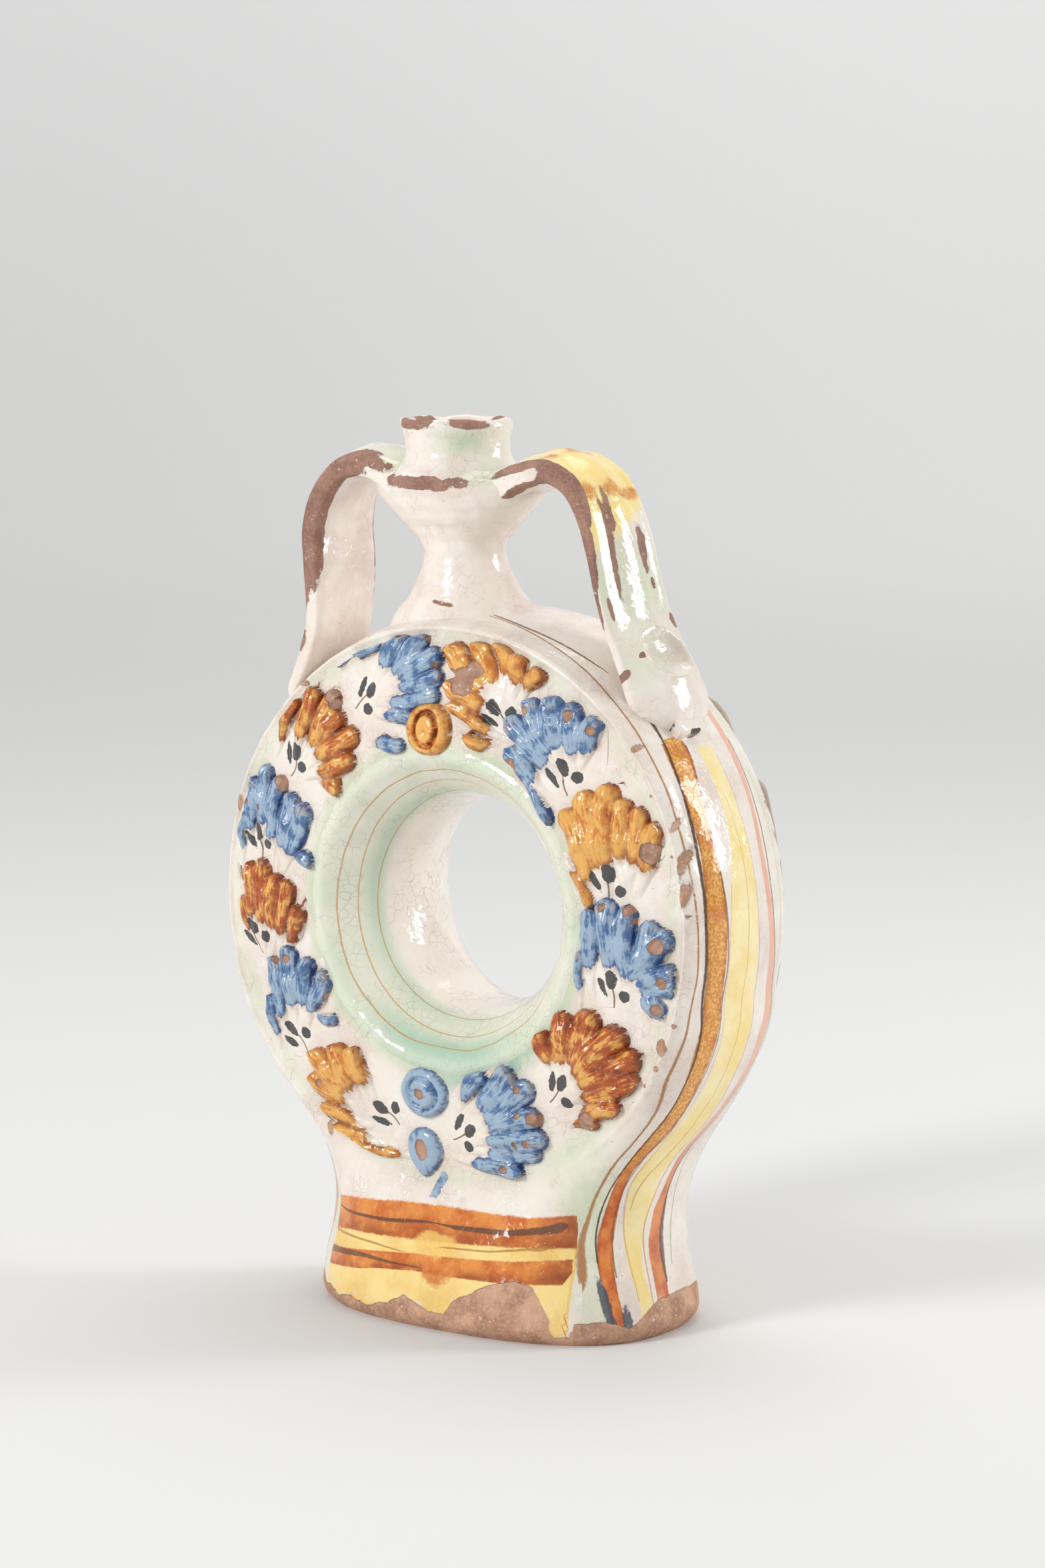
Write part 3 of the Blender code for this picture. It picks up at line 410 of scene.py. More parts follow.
def outlineStations():
    # the outline's edge and crest from the right base over the top to the left base, evenly along the crest
    edgeX = ovalReach(footRows[:, 4], footRows[:, 2], footRows[:, 1], footRows[:, 3])
    low = np.stack([edgeX, footRows[:, 0], footRows[:, 4], footRows[:, 1], footRows[:, 0],
                    ringBlend(footRows[:, 0])], 1)
    turn = np.linspace(math.acos((ring["height"] - 116) / ring["edge"]), math.pi, 15)
    across, down = np.sin(turn), np.cos(turn)
    high = np.stack([ring["edge"] * across, ring["height"] - ring["edge"] * down,
                     np.full(15, ring["edgeDepth"]), ring["crest"] * across,
                     ring["height"] - ring["crest"] * down, np.zeros(15)], 1)
    right = np.concatenate([low, high])
    left = right[-2::-1].copy()
    left[:, [0, 3]] *= -1
    rows = np.concatenate([right, left])
    length = lengthAlong(rows[:, 3:5])
    fine = curveThrough(np.linspace(0, length[-1], ring["stations"]), length, rows)
    fine[0, [1, 4]] = fine[-1, [1, 4]] = 0
    return fine


def faceGrid(x, z, depth, blend, edge):
    # columns run from the lip out to the outline; depth follows the field, then rolls over to the edge
    radius = np.hypot(x, z - ring["height"])[:, None]
    away = np.stack([x, z - ring["height"]], 1)[:, None, :] / radius[..., None]
    share = np.linspace(0, 1, ring["borderRows"] + 1)[None, 1:] ** 0.8
    inner = np.linspace(ring["lip"], ring["field"], ring["fieldRows"])[None, :].repeat(len(x), 0)
    outer = ring["field"] + (radius - ring["field"]) * share
    reach = np.concatenate([inner, outer], 1)
    roll = np.concatenate([np.ones_like(inner), 1 - share.repeat(len(x), 0) ** edge["power"]], 1)
    px, pz = away[..., 0] * reach, ring["height"] + away[..., 1] * reach
    hollow = ring["hollow"] * hump(reach, 84.5, 6) * roll
    deep = faceDepth(px, pz, depth[:, None] + (fieldDepth(reach) - hollow - depth[:, None]) * roll)
    settle = smoothStep(1 - roll, 0.3, 1)
    deep = deep + (depth[:, None] - deep[:, -1:]) * settle
    deep = deep + edge["rise"] * hump(reach, edge["ridge"], 1.3) * (1 - blend[:, None]) * roll
    return np.stack([px, -deep, pz], -1)


def bandGrid(rows):
    # across the band: from one edge (share 1) to the crest (share 0) and on to the other edge (share -1)
    turn = np.linspace(0, math.pi, ring["bandRows"] + 1)
    share = np.cos(turn)[None, :]
    edgeX, edgeZ, depth, crestX, crestZ, blend = (rows[:, k, None] for k in range(6))
    side = np.where(edgeX < 0, -1, 1)
    wide, deep, square = (footAt(edgeZ, k) for k in (1, 2, 3))
    inset = np.abs(edgeX)
    onOval = (ovalReach(depth * share, deep, wide, square) - inset) / np.maximum(wide - inset, 1)
    bulge = 1 - np.abs(share) ** 3
    bulge = bulge + (onOval - bulge) * blend
    return np.stack([edgeX + (crestX - edgeX) * bulge, -depth * share, edgeZ + (crestZ - edgeZ) * bulge], -1)


def boreProfile():
    # radius and depth from the front lip joint through the waist to the back one
    rise, half = 51 - ring["waist"], 35.2
    arc = (half ** 2 + rise ** 2) / (2 * rise)
    inside = np.linspace(33.0, -33.0, ring["boreRows"])
    waist = np.stack([ring["waist"] + arc - np.sqrt(arc ** 2 - inside ** 2), inside], 1)
    lip = np.array([(54.4, 34.4), (53.6, 34.72), (52.7, 34.96), (51.8, 34.98), (50.9, 34.7), (50.1, 34.3),
                    (49.3, 33.75)])
    return np.concatenate([lip, waist, (lip * [1, -1])[::-1]])


stationRows = outlineStations()
sideCount = len(stationRows)
baseX = np.linspace(-1, 1, ring["baseColumns"] + 2)[1:-1] * abs(stationRows[0, 0]) + footShift
lean = footLean(stationRows[:, 1])
outlineX = np.concatenate([stationRows[:, 0] + lean, baseX])
outlineZ = np.concatenate([stationRows[:, 1], np.zeros(len(baseX))])
baseDepth = ovalReach(baseX - footShift, footAt(0.0, 1), footAt(0.0, 2), footAt(0.0, 3))
outlineDepth = np.concatenate([stationRows[:, 2], baseDepth])
outlineBlend = np.concatenate([stationRows[:, 5], np.ones(len(baseX))])

front = faceGrid(outlineX, outlineZ, outlineDepth, outlineBlend, shownRoll)
back = faceGrid(outlineX, outlineZ, outlineDepth, outlineBlend, backRoll) * [1, -1, 1]
band = bandGrid(stationRows)
band[..., 0] += lean[:, None]
profile = boreProfile()
reach = np.hypot(outlineX, outlineZ - ring["height"])
boreRadius = profile[None, :, 0]
bore = np.stack([outlineX[:, None] / reach[:, None] * boreRadius, -profile[None, :, 1].repeat(len(reach), 0),
                 ring["height"] + (outlineZ[:, None] - ring["height"]) / reach[:, None] * boreRadius], -1)


def bodyNormals(face, band, bore, other):
    # of face, band and bore: the run round the outline crossed with the run across it, taken over the joins
    def across(before, grid, after):
        return np.gradient(np.concatenate([before, grid, after], 1), axis=1)[:, 2:2 + grid.shape[1]]

    faceAcross = across(bore[:, 2:0:-1], face, face[:, -2:])
    faceAcross[sideCount:, -1] = faceAcross[sideCount:, -3]
    faceAcross[:sideCount] = across(bore[:sideCount, 2:0:-1], face[:sideCount], band[:, 1:3])
    bandAcross = across(face[:sideCount, -3:-1], band, other[:sideCount, -2:-4:-1])
    boreAcross = across(face[:, 2:0:-1], bore, other[:, 1:3])
    middle = np.array([0, 0, ring["height"]])
    return (turnedTo(unit(np.cross(stepsAlong(face, 0, True), faceAcross)), face * [0, 1, 0]),
            turnedTo(unit(np.cross(stepsAlong(band, 0, False), bandAcross)), (band - middle) * [1, 0, 1]),
            turnedTo(unit(np.cross(stepsAlong(bore, 0, True), boreAcross)), (middle - bore) * [1, 0, 1]))


def bodyLumps(points, normals):
    # the hand's unevenness along the normals, more on the faces, and a foot worn inward near the floor
    rise = ring["lumpHeight"] * lumps(points, ring["lumpSize"], 1) + ring["fineHeight"] * lumps(points, 6.5, 2)
    field = smoothStep(np.abs(points[..., 1]), 28, 31) * smoothStep(points[..., 2], 50, 70)
    rise = rise + field * (0.5 * lumps(points, 12, 9) + 0.16 * lumps(points, 5, 19))
    worn = ring["wornFoot"] * np.clip(1 - points[..., 2] / 6.5, 0, 1) ** 2.4
    inward = np.stack([1 - worn / 64, 1 - worn / 43, 1 + 0 * worn], -1)
    moved = (points - [footShift, 0, 0]) * inward + [footShift, 0, 0]
    return moved + normals * (rise * smoothStep(points[..., 2], 0, 4))[..., None]


frontNormals, bandNormals, boreNormals = bodyNormals(front, band, bore, back)
front, band, bore, back = (bodyLumps(*sheet) for sheet in (
    (front, frontNormals), (band, bandNormals), (bore, boreNormals), (back, unit(back * [0, 1, 0]))))
front[:sideCount, -1], back[:sideCount, -1] = band[:, 0], band[:, -1]
front[:, 0], back[:, 0] = bore[:, 0], bore[:, -1]
frontNormals, bandNormals, boreNormals = bodyNormals(front, band, bore, back)
backNormals = bodyNormals(back, band[:, ::-1], bore[:, ::-1], front)[0]
print("body worked out")

# where the clay is left bare: its height by the angle round the foot from the front to the right
clayLine = dict(
    angles=[-180, -150, -125, -100, -70, -65, -49.5, -37, -24, -14, -3, 7.5, 11, 15, 27, 38, 44, 46.5, 48.9,
            49.3, 55.3, 56.2, 64, 72, 81, 90, 107, 125, 150, 180],
    heights=[8, 6, 9, 7, 9.5, 9, 5, 5.5, 7, 10.5, 7, 6.5, 11.5, 13, 18, 20.5, 19, 14.5, 8.4,
             3, 3.1, 8, 8.6, 5.5, 12.5, 13.6, 13.7, 9, 7, 8])
footBands = dict(  # x, lower edge, upper edge
    upperBand=[(-56, 24, 37), (-51, 25, 36), (-39, 27, 38), (-14.6, 28.5, 40), (5, 29.6, 40.4),
               (20, 30.6, 40.6), (36, 31.4, 41.2), (50, 32.2, 43.2), (51.2, 32.3, 43.3)],
    lowerBand=[(-56, 12.5, 19), (-48, 13.5, 19.5), (-30, 15.8, 22), (-22, 17.4, 23), (-6.2, 19, 24.6),
               (7.6, 19.1, 25.2), (29, 19.4, 26.5), (48.4, 20.4, 28.5), (50.6, 24.3, 28.6)])
footLines = dict(  # tone, how ragged, strength, softness, then rows of x, height, half width
    midLine=((176, 124, 60), 0.5, 0.8, 0.3,
             [(-50, 26, 0.25), (-46.8, 25.1, 0.4), (-26.6, 25.1, 0.35), (-14, 24.5, 0.2), (-9, 24.4, 0.02),
              (2, 27.6, 0.02), (5.9, 28.1, 0.3), (22.6, 28.9, 0.3), (36, 31, 0.45), (41, 31.7, 0.9),
              (44, 32, 0.1)]),
    upperLine=((88, 62, 50), 0.3, 0.85, 0.25,
               [(-50, 33.5, 0.1), (-41.2, 32.6, 0.45), (-21.6, 33.3, 0.6), (-6, 34.8, 0.5), (-1, 35, 0.15),
                (4, 34.8, 0.3), (8, 34.7, 0.7), (27.9, 35.4, 0.9), (41.5, 37.7, 1.3), (46.5, 39, 1.9),
                (48.6, 39.6, 0.4)]),
    lowerLine=((92, 66, 52), 0.3, 0.8, 0.25,
               [(-56, 17.6, 1.1), (-52, 18.3, 1.3), (-42, 19.3, 1.0), (-29.8, 20.4, 0.7), (-15, 20.2, 0.4),
                (-4.1, 20.4, 0.2), (-2, 20.4, 0.02)]))
# chips down to the clay: x, z, half width, half height
faceChips = [(73.6, 198.4, 0.9, 1.1), (88, 174.6, 0.5, 1.8), (91.4, 162.8, 0.7, 4.0), (92.9, 153, 1.0, 3.6),
             (88.3, 165, 0.45, 0.4), (94.1, 146, 0.5, 0.5), (84.9, 103.1, 2.1, 2.6), (89.5, 110.5, 0.6, 0.7),
             (80.4, 183.8, 0.5, 0.4), (83, 96, 0.9, 0.9), (-60, 211, 2.0, 1.0), (-88, 168, 1.0, 3.0),
             (-50, 60, 1.2, 2.4), (84.5, 189, 0.5, 0.5), (79, 90, 0.5, 0.5)]


def bareFoot(points):
    # millimetres below the glaze's lower edge: the clay line plus wear, which is most ragged at the left
    angle = np.degrees(np.arctan2(points[..., 0] - footShift, -points[..., 1]))
    ragged = (1.0 + 1.6 * (1 - smoothStep(points[..., 0], -30, 10))) * lumps(points, 5, 14, 3)
    line = np.interp(angle, clayLine["angles"], clayLine["heights"]) + ragged
    return np.clip(line - points[..., 2], -4, 4) * 0.8


def faceFields(points):
    # green and teal by the distance from the ring's middle, then chips and the foot's bands, lines and laps
    x, depth, z = np.moveaxis(points, -1, 0)
    radius = np.hypot(x, z - ring["height"])
    green = 1 - smoothStep(radius, 55, 60.5) + 0.55 * hump(radius, 89.5, 3.5)
    lowRight = hump(np.hypot((x - 55) / 10, (z - 45) / 26), 0, 1)
    green = green * (0.65 + 0.5 * lumps(points, 24, 5)) + 0.8 * lowRight
    turned = np.degrees(np.arctan2(x, z - ring["height"]))
    chips = deepestOval((x, z), [(*chip, min(chip[2:])) for chip in faceChips])
    fields = dict(greenCast=np.clip(green, 0, 1), tealCast=hump(radius, 56, 4.5) * hump(turned, 157, 26),
                  bareClay=np.maximum(bareFoot(points), chips),
                  blueTail=np.minimum(1.7 - np.abs(x + 2.1 + (49.4 - z) * 0.39), np.minimum(z - 42.3, 51 - z)),
                  lapYellow=deepestOval((x, z), [(1.4, 28.4, 8.5, 3.8, 3)]) + 0.7 * lumps(points, 4, 51),
                  lapRust=deepestOval((x, z), [(3, 20, 5.5, 4.6, 3)]) + 0.7 * lumps(points, 4, 52),
                  strokeEnd=smoothStep(x, 36, 50))
    for name, edges in footBands.items():
        fields[name] = acrossLine(x, z, fromEdges(edges), 9, np.interp)
    for name, (*_, rows) in footLines.items():
        fields[name] = acrossLine(x, z, rows, join=np.interp)
    lowEdge = np.array(footBands["upperBand"])[:, :2].T
    fields["yellowGround"] = np.minimum(np.interp(x, *lowEdge) + 1 - z, 51.4 - x)
    line = acrossLine(roundOutline(points), depth, sideLines["faceLine"][-1])
    fields["faceLine"] = np.where((depth < 0) & (radius > 90) & (z > 20), line, offMark)
    return fields


def faceGlaze():
    # cream and teal, then the foot: yellow ground, two rust bands, laps over them, a blue tail and lines
    n = glazeTree("faceGlaze")
    colour, web = creamGround(n)
    colour = n.mix(n.times(n.field("tealCast"), n.drift(7, 3, 0.35, 0.6, 0.3, 0.9)), colour, "teal")
    colour = patch(n, colour, "yellowGround", n.clouded("yellow", "yellowDeep", 14, 3, 0.35, 0.7), 0.8, 0.92)
    rust = n.clouded(n.clouded("rust", "rustDeep", 9, 3, 0.35, 0.65), "rustGrain", 1.4, 3, 0.5, 0.7, 0.35, 0.6)
    for name in footBands:
        low = n.times(n.ramp(n.field(name), 0.35, -0.9, 0, 0.75), n.drift(6, 3, 0.3, 0.6))
        tone = n.mix(low, rust, "rustLow")
        tone = n.mix(n.times(n.field("strokeEnd"), n.drift(8, 3, 0.3, 0.65, 0.1, 0.8)), tone, "rustEnd")
        colour = stripe(n, colour, name, tone, 0.1)
    colour = patch(n, colour, "lapRust", rust, 1.2, 0.85, 0.8)
    colour = patch(n, colour, "lapYellow", "yellowLap", 1.0, 0.8, 0.6)
    colour = patch(n, colour, "blueTail", n.clouded("cobaltPale", "cobalt", 3, 3, 0.35, 0.65), 0.7, 0.9, 0.3)
    for name, (tone, *manner, rows) in footLines.items():
        colour = stripe(n, colour, name, linear(*tone), *manner)
    colour = stripe(n, colour, "faceLine", linear(*sideLines["faceLine"][0]), 0.45, 0.9, 0.4)
    return glazeOver(n, colour, web, thin=0.75)


# down the side: angle round the outline from the top (degrees, seen from z 90), then depth of the two edges
sideStripes = dict(
    rust=[(34.6, -19, -8.9), (38, -20.4, -9.2), (41, -20.9, -11.4), (44.6, -21.6, -13.8), (50, -21.2, -14.7),
          (56, -22.2, -13.6), (62, -22.8, -12.7), (70, -21, -12.6), (75, -20.5, -11.8), (82, -21.7, -12.4),
          (93, -20.9, -13.7), (99, -21.8, -14.5), (104, -22.8, -15.8), (108, -23.5, -18.2),
          (113, -24.1, -20.7), (124, -24.3, -21.2), (130, -24.6, -21.1), (135.5, -25.6, -21.9),
          (139, -26.2, -22.5), (144, -25.6, -21)],
    yellow=[(36.7, -4.1, 3.9), (43, -4.4, 3.5), (49, -5, 3.9), (55, -9, 4), (61, -11, 4.5), (68, -10.8, 5.4),
            (75, -10.1, 7), (85, -9.6, 6.6), (91, -9.4, 6), (97, -11.2, 5), (103, -14, 3.5),
            (108, -16.4, 0.5), (112, -18.6, -4.1), (116, -19.6, -8), (121, -19.6, -8.6), (127, -18.8, -9.9),
            (131, -18.4, -11.7), (135, -17.9, -12.6), (140, -15.8, -10.2), (144, -15.2, -9.6)],
    pink=[(20, 13.4, 16.6), (36, 12.4, 15.9), (45, 11.5, 13.9), (53, 9.6, 12.4), (58, 10.1, 13.4),
          (62.5, 11.3, 14.8), (69, 13.6, 18), (76, 15.4, 20.6), (83, 14.6, 19.6), (90, 13.4, 18),
          (97, 10, 14), (103, 6, 9.6), (108, 2, 5.6), (112, -1, 2.7), (117, -3.1, 0.5), (121, -4.6, -0.9),
          (125, -7, -1.4), (129, -8, -2.2), (132, -9.2, -3), (137, -8.4, -2), (144, -8, -1.6)])
# thin lines: tone, strength, then rows of angle, depth, half width
sideLines = dict(
    rustEdge=((84, 50, 26), 0.95,
              [(28, -17.2, 0.1), (29, -17.3, 0.5), (35.6, -18.2, 0.45), (38.5, -19.6, 0.5),
               (44.6, -21.4, 0.6), (60, -22.6, 0.6), (78, -20.7, 0.5), (93, -20.7, 0.3), (113, -23.9, 0.2),
               (138, -26, 0.2)]),
    rustFar=((134, 78, 34), 0.8,
             [(36, -8.7, 0.3), (44, -13.5, 0.3), (54, -14.1, 0.35), (62, -12.5, 0.4), (75, -11.5, 0.3),
              (93, -13.4, 0.2), (113, -20.4, 0.2), (138, -22, 0.2)]),
    yellowNear=((214, 160, 92), 0.7,
                [(56, -9.2, 0.2), (62, -10.9, 0.2), (84, -9.6, 0.15), (108, -16.2, 0.2), (116, -19.4, 0.25),
                 (131, -18.3, 0.25), (139, -16, 0.2)]),
    yellowMiddle=((196, 130, 70), 0.75,
                  [(44, -0.8, 0.1), (62, -0.6, 0.16), (83, -0.2, 0.18), (97, -2, 0.2), (104, -4.6, 0.25),
                   (108, -7, 0.3), (112, -10.6, 0.35), (116, -14.6, 0.3), (121, -17, 0.25),
                   (126, -17.4, 0.1)]),
    yellowFar=((206, 150, 96), 0.8,
               [(38, 4.2, 0.1), (58, 4.6, 0.16), (76, 7.6, 0.2), (90, 6.6, 0.25), (103, 4, 0.25),
                (112, -3.8, 0.35), (121, -8.2, 0.3), (131, -11.3, 0.3), (139, -10.4, 0.25)]),
    pinkFar=((84, 56, 50), 0.85,
             [(36, 16.1, 0.3), (62, 15, 0.3), (76, 20.8, 0.25), (97, 14.3, 0.2), (112, 2.9, 0.3),
              (121, -0.8, 0.4), (127, -1.7, 0.8), (134, -2.6, 1.0), (137, -1.9, 0.3)]),
    outerLine=((150, 150, 110), 0.7,
               [(40, 19.4, 0.15), (70, 21.6, 0.15), (97, 17.4, 0.15), (107.7, 7.7, 0.25), (112.7, 4.7, 0.25),
                (118, 4.2, 0.25), (128, 3.4, 0.3), (135, 2.2, 0.25)]),
    faceLine=((168, 112, 56), 0.9,
              [(-17, -21, 0.2), (-14, -17.6, 0.3), (-9, -14.5, 0.3), (-5.8, -13.4, 0.3), (0, -16.7, 0.3),
               (6.4, -20.4, 0.32), (11.6, -22.2, 0.35), (17, -23.4, 0.4), (22, -24.2, 0.4), (27, -25.2, 0.4),
               (32.6, -25.7, 0.4), (39, -26.6, 0.4), (47, -27.4, 0.45), (52, -27.1, 0.45), (58, -26.6, 0.45),
               (64, -25.9, 0.4), (71, -25.1, 0.4), (78, -26.6, 0.5), (84, -27.9, 0.5), (89, -28, 0.5),
               (94, -26.5, 0.5), (100.5, -25.9, 0.4), (106, -26.4, 0.35), (112, -27.1, 0.35),
               (124, -27.1, 0.3), (133, -27.7, 0.4), (138, -28.8, 0.6), (141, -29.8, 0.7),
               (143.2, -31.1, 0.1)]),
    topLine=((128, 82, 44), 0.95,
             [(-6.5, -6.5, 0.6), (-4.9, -8.3, 0.6), (-0.7, -13.7, 0.6), (4, -17.7, 0.55), (8, -19.9, 0.55),
              (15, -19.7, 0.5), (20.8, -18.3, 0.4), (23, -17.4, 0.1)]))
oneSided = ("faceLine", "topLine")  # the other lines run down the left side as well
inkEnds = [(141.6, -26.3, 2.0, 1.4, 2), (142.9, -25.6, 1.2, 1.5, 2), (142, -20.9, 2.2, 1.6, 2)]


def roundOutline(points):  # degrees from the top, seen from a point 90 mm up
    return np.degrees(np.arctan2(points[..., 0], points[..., 2] - 90))


def sideFields(points):
    # stripes and lines by their depth at each angle, a green cast towards the back and the foot, ends of ink
    depth, z, angle = points[..., 1], points[..., 2], roundOutline(points)
    green = 0.5 * smoothStep(depth, 14, 20) + 0.6 * smoothStep(z, 100, 60) * smoothStep(-depth, 23, 25)
    fields = dict(greenCast=np.clip(green * (0.7 + 0.5 * lumps(points, 20, 6)), 0, 1),
                  bareClay=bareFoot(points), inkEnd=deepestOval((angle, depth), inkEnds),
                  deep=smoothStep(angle, 100, 125))
    for name, edges in sideStripes.items():
        fields[name + "Stripe"] = acrossLine(np.abs(angle), depth, fromEdges(edges))
    for name, (*_, rows) in sideLines.items():
        fields[name] = acrossLine(angle if name in oneSided else np.abs(angle), depth, rows)
    return fields


def sideGlaze():
    # cream with a yellow, a rust and a pink stripe, which is rust near the foot, and thin lines between them
    n = glazeTree("sideGlaze")
    colour, web = creamGround(n, 0.12)
    yellow = n.clouded("yellowSide", "yellowPale", 12, 3, 0.35, 0.7)
    colour = stripe(n, colour, "yellowStripe", yellow, 0.07, 0.95)
    upper = n.clouded("rustSide", "rustSideGrain", 1.0, 2, 0.36, 0.68, 1.0, 0.5)
    upper = n.clouded(upper, "rustSideCloud", 12, 3, 0.45, 0.7, 0.7)
    lower = n.clouded("rustFoot", "rustFootDeep", 5, 3, 0.35, 0.7)
    edge = n.times(n.ramp(n.size(n.field("rustStripe")), 0.45, 1.0, 0, 0.75), n.drift(3, 3, 0.3, 0.6))
    rust = n.mix(edge, n.mix(n.field("deep"), upper, lower), "rustEdge")
    colour = stripe(n, colour, "rustStripe", rust, 0.08)
    colour = stripe(n, colour, "pinkStripe", n.mix(n.field("deep"), "pink", lower), 0.12, 0.92)
    for name, (tone, strength, rows) in sideLines.items():
        colour = stripe(n, colour, name, linear(*tone), 0.45, strength, 0.4)
    return glazeOver(n, patch(n, colour, "inkEnd", "ink", 0.9, 0.9, 0.3), web, thin=0.5)


# thrown lines inside the bore: tone, depth, how far it wanders, at what turn, half width
boreLines = dict(lineA=((196, 146, 76), 31.2, 0.7, 0.4, 0.22), lineB=((206, 150, 82), 26.0, 0.9, 1.0, 0.2),
                 lineC=((190, 150, 84), 19.2, 0.9, 0.2, 0.22))


def boreFields(points):
    # green on the shown half, teal where the glaze ran together, lines at depths that wander with the angle
    deep = -points[..., 1]  # 35 at the shown lip
    angle = np.arctan2(points[..., 0], points[..., 2] - ring["height"])
    green = smoothStep(deep, 14, 22) * (1 + 0.3 * smoothStep(deep, 28, 33))
    green = green * (0.75 + 0.35 * lumps(points, 16, 8))
    teal = hump(deep, 19.5, 3.2) * (0.6 + 0.4 * np.cos(angle + 1.2))
    teal = teal + 1.4 * hump(deep, 32, 4) * smoothStep(-np.cos(angle), 0.7, 1)
    fields = dict(greenCast=np.clip(green, 0, 1), tealCast=np.clip(teal * 0.5, 0, 1),
                  bareClay=0 * deep + noPatch)
    for name, (tone, at, sway, turn, half) in boreLines.items():
        fields[name] = (deep - at - sway * np.sin(angle * 2 + turn)) / half
    return fields


def boreGlaze():
    # a cream whitened as painted brightness, as if the bore were more strongly lit, with more crackle, teal
    # and the thrown lines
    n = glazeTree("boreGlaze")
    colour, web = creamGround(n, 0.75)
    # painted light: the cream is mixed 0.35 of the way to white so that the bore looks more brightly lit
    colour = n.mix(n.field("tealCast"), n.mix(0.35, colour, "whiteCream"), "teal")
    for name, (tone, *_) in boreLines.items():
        colour = stripe(n, colour, name, linear(*tone), 0.6, 0.75, 0.4)
    return glazeOver(n, colour, web, gloss=0.06)


faceMaterial = faceGlaze()
for name, grid, normals, node in (("frontFace", front, frontNormals, "front_wall"),
                                  ("backFace", back, backNormals, "back_wall")):
    putDown(name, grid, normals, faceMaterial, node, closed=True, fields=faceFields(grid))
putDown("sideBand", band, bandNormals, sideGlaze(), "side_band", fields=sideFields(band))
putDown("bore", bore, boreNormals, boreGlaze(), "bore_tube", closed=True,
        fields=boreFields(bore))

# underside, from the outline in: share of the outline's size, rise of the worn rim and of the hollow sole
soleRows = [(1, 0), (0.99, 0), (0.97, 0), (0.92, 0), (0.885, 0.15), (0.875, 0.9), (0.86, 1.3), (0.7, 1.4),
            (0.5, 1.5), (0.3, 1.5), (0.12, 1.5)]


def footBottom():
    # the body's lowest points all round, drawn in by each row's share and raised by its rise
    rim = np.concatenate([front[sideCount:, -1], band[0], back[sideCount:, -1][::-1], band[-1, ::-1]])
    scale, rise = np.array(soleRows).T
    grid = np.stack([footShift + (rim[:, :1] - footShift) * scale, rim[:, 1:2] * scale,
                     np.broadcast_to(rise, (len(rim), len(rise)))], -1)
    grid[..., 2] += 0.15 * (1 + lumps(grid, 9, 3)) * (scale < 0.98)
    return grid


def bareClay():
    # the clay alone, rough and dull
    n = glazeTree("bareClay")
    colour, height = claySkin(n)
    return n.finish(colour, 0.85, height, 0.0007)


underside = footBottom()
putDown("footBottom", underside, facing(underside, [0, 0, -1], True), bareClay(), "foot_sole",
        closed=True, caps=(-1,))
print("body put down")

# neck and mouth; the mouth is the run of profile rows from mouthStart to mouthEnd
neck = dict(foot=238.0, axisX=-12.1, axisRise=18.6, lean=0.08, axisY=-5.0, sides=150, steps=210, lump=0.3,
            mouthStart=13, mouthEnd=29)
# rise above the ring, half width, half depth
throatOutside = [(-10, 31, 22), (-3, 26.5, 20.5), (2, 21.5, 18), (8, 17.4, 15.8), (14, 14.6, 14.2),
                 (19, 13.9, 13.8), (22, 15.8, 14.2), (25, 18.6, 15.4), (28, 21.8, 17.2), (31, 25.2, 18.9),
                 (34, 28.4, 20), (37, 30.8, 20.9), (39.5, 31, 21.6), (42, 27.4, 22), (44.5, 21.5, 21.2),
                 (48, 18.4, 18.4), (52.5, 17.4, 17.4), (57, 18, 18), (60.3, 18.9, 18.9), (61.5, 18.6, 18.6),
                 (62, 17.4, 17.4)]
throatInside = [(61.6, 16.1, 16.1), (60, 14.6, 14.6), (57, 13.3, 13.3), (52.5, 13, 13), (48, 13.2, 13.2),
                (44.5, 13.3, 13.3), (41.6, 13.2, 13.2), (36, 12.4, 12.4), (30, 11, 11), (24, 9.4, 9.4),
                (14, 8.8, 8.8), (-8, 9.5, 9.5)]
# worn places: degrees from the shown side, height, half spans in degrees and millimetres, depth
neckChips = [(-16, 299.2, 25, 2.2, 2.4), (45, 299.4, 20, 2.1, 2.4), (-3, 279.6, 37, 2.2, 2.4),
             (-100, 299, 14, 1.2, 2.4), (150, 299.5, 16, 1.2, 2.4)]


def throatNormals(grid):  # outward from the axis on the profile's first rows, and the rest to match
    outer = np.arange(grid.shape[1]) < 60
    return facing(grid, (grid - [neck["axisX"], neck["axisY"], 0]) * [1, 1, 0] * outer[None, :, None], True)


def throatGrid():
    # rings round the leaning axis, from the flare on the ring up over the rim and down inside
    rows = np.array(throatOutside + throatInside, float)
    length = lengthAlong(rows[:, :2])
    ends = length[[neck["mouthStart"], neck["mouthEnd"]]]
    at = np.union1d(np.linspace(0, length[-1], neck["steps"]), ends)
    fine = curveThrough(at, length, rows)
    turn = roundTurn(neck["sides"])
    z = neck["foot"] + fine[None, :, 0]
    centre = neck["axisX"] - (z - neck["foot"] - neck["axisRise"]) * neck["lean"]
    grid = np.stack([centre + fine[None, :, 1] * np.cos(turn), neck["axisY"] + fine[None, :, 2] * np.sin(turn),
                     z + 0 * turn], -1)
    roundRim = np.stack([np.cos(turn), np.sin(turn), 0 * turn], -1)
    grid[..., 2] -= smoothStep(z, 292, 299) * 0.9 * lumps(roundRim * 18, 9, 7)
    thrown = 0.09 * np.sin(grid[..., 2] * 1.3) * smoothStep(z, 240, 262)
    grid = grid + throatNormals(grid) * (neck["lump"] * lumps(grid, 13, 4) + thrown)[..., None]
    start, end = np.searchsorted(at, ends - 1e-6)
    return grid, start, end


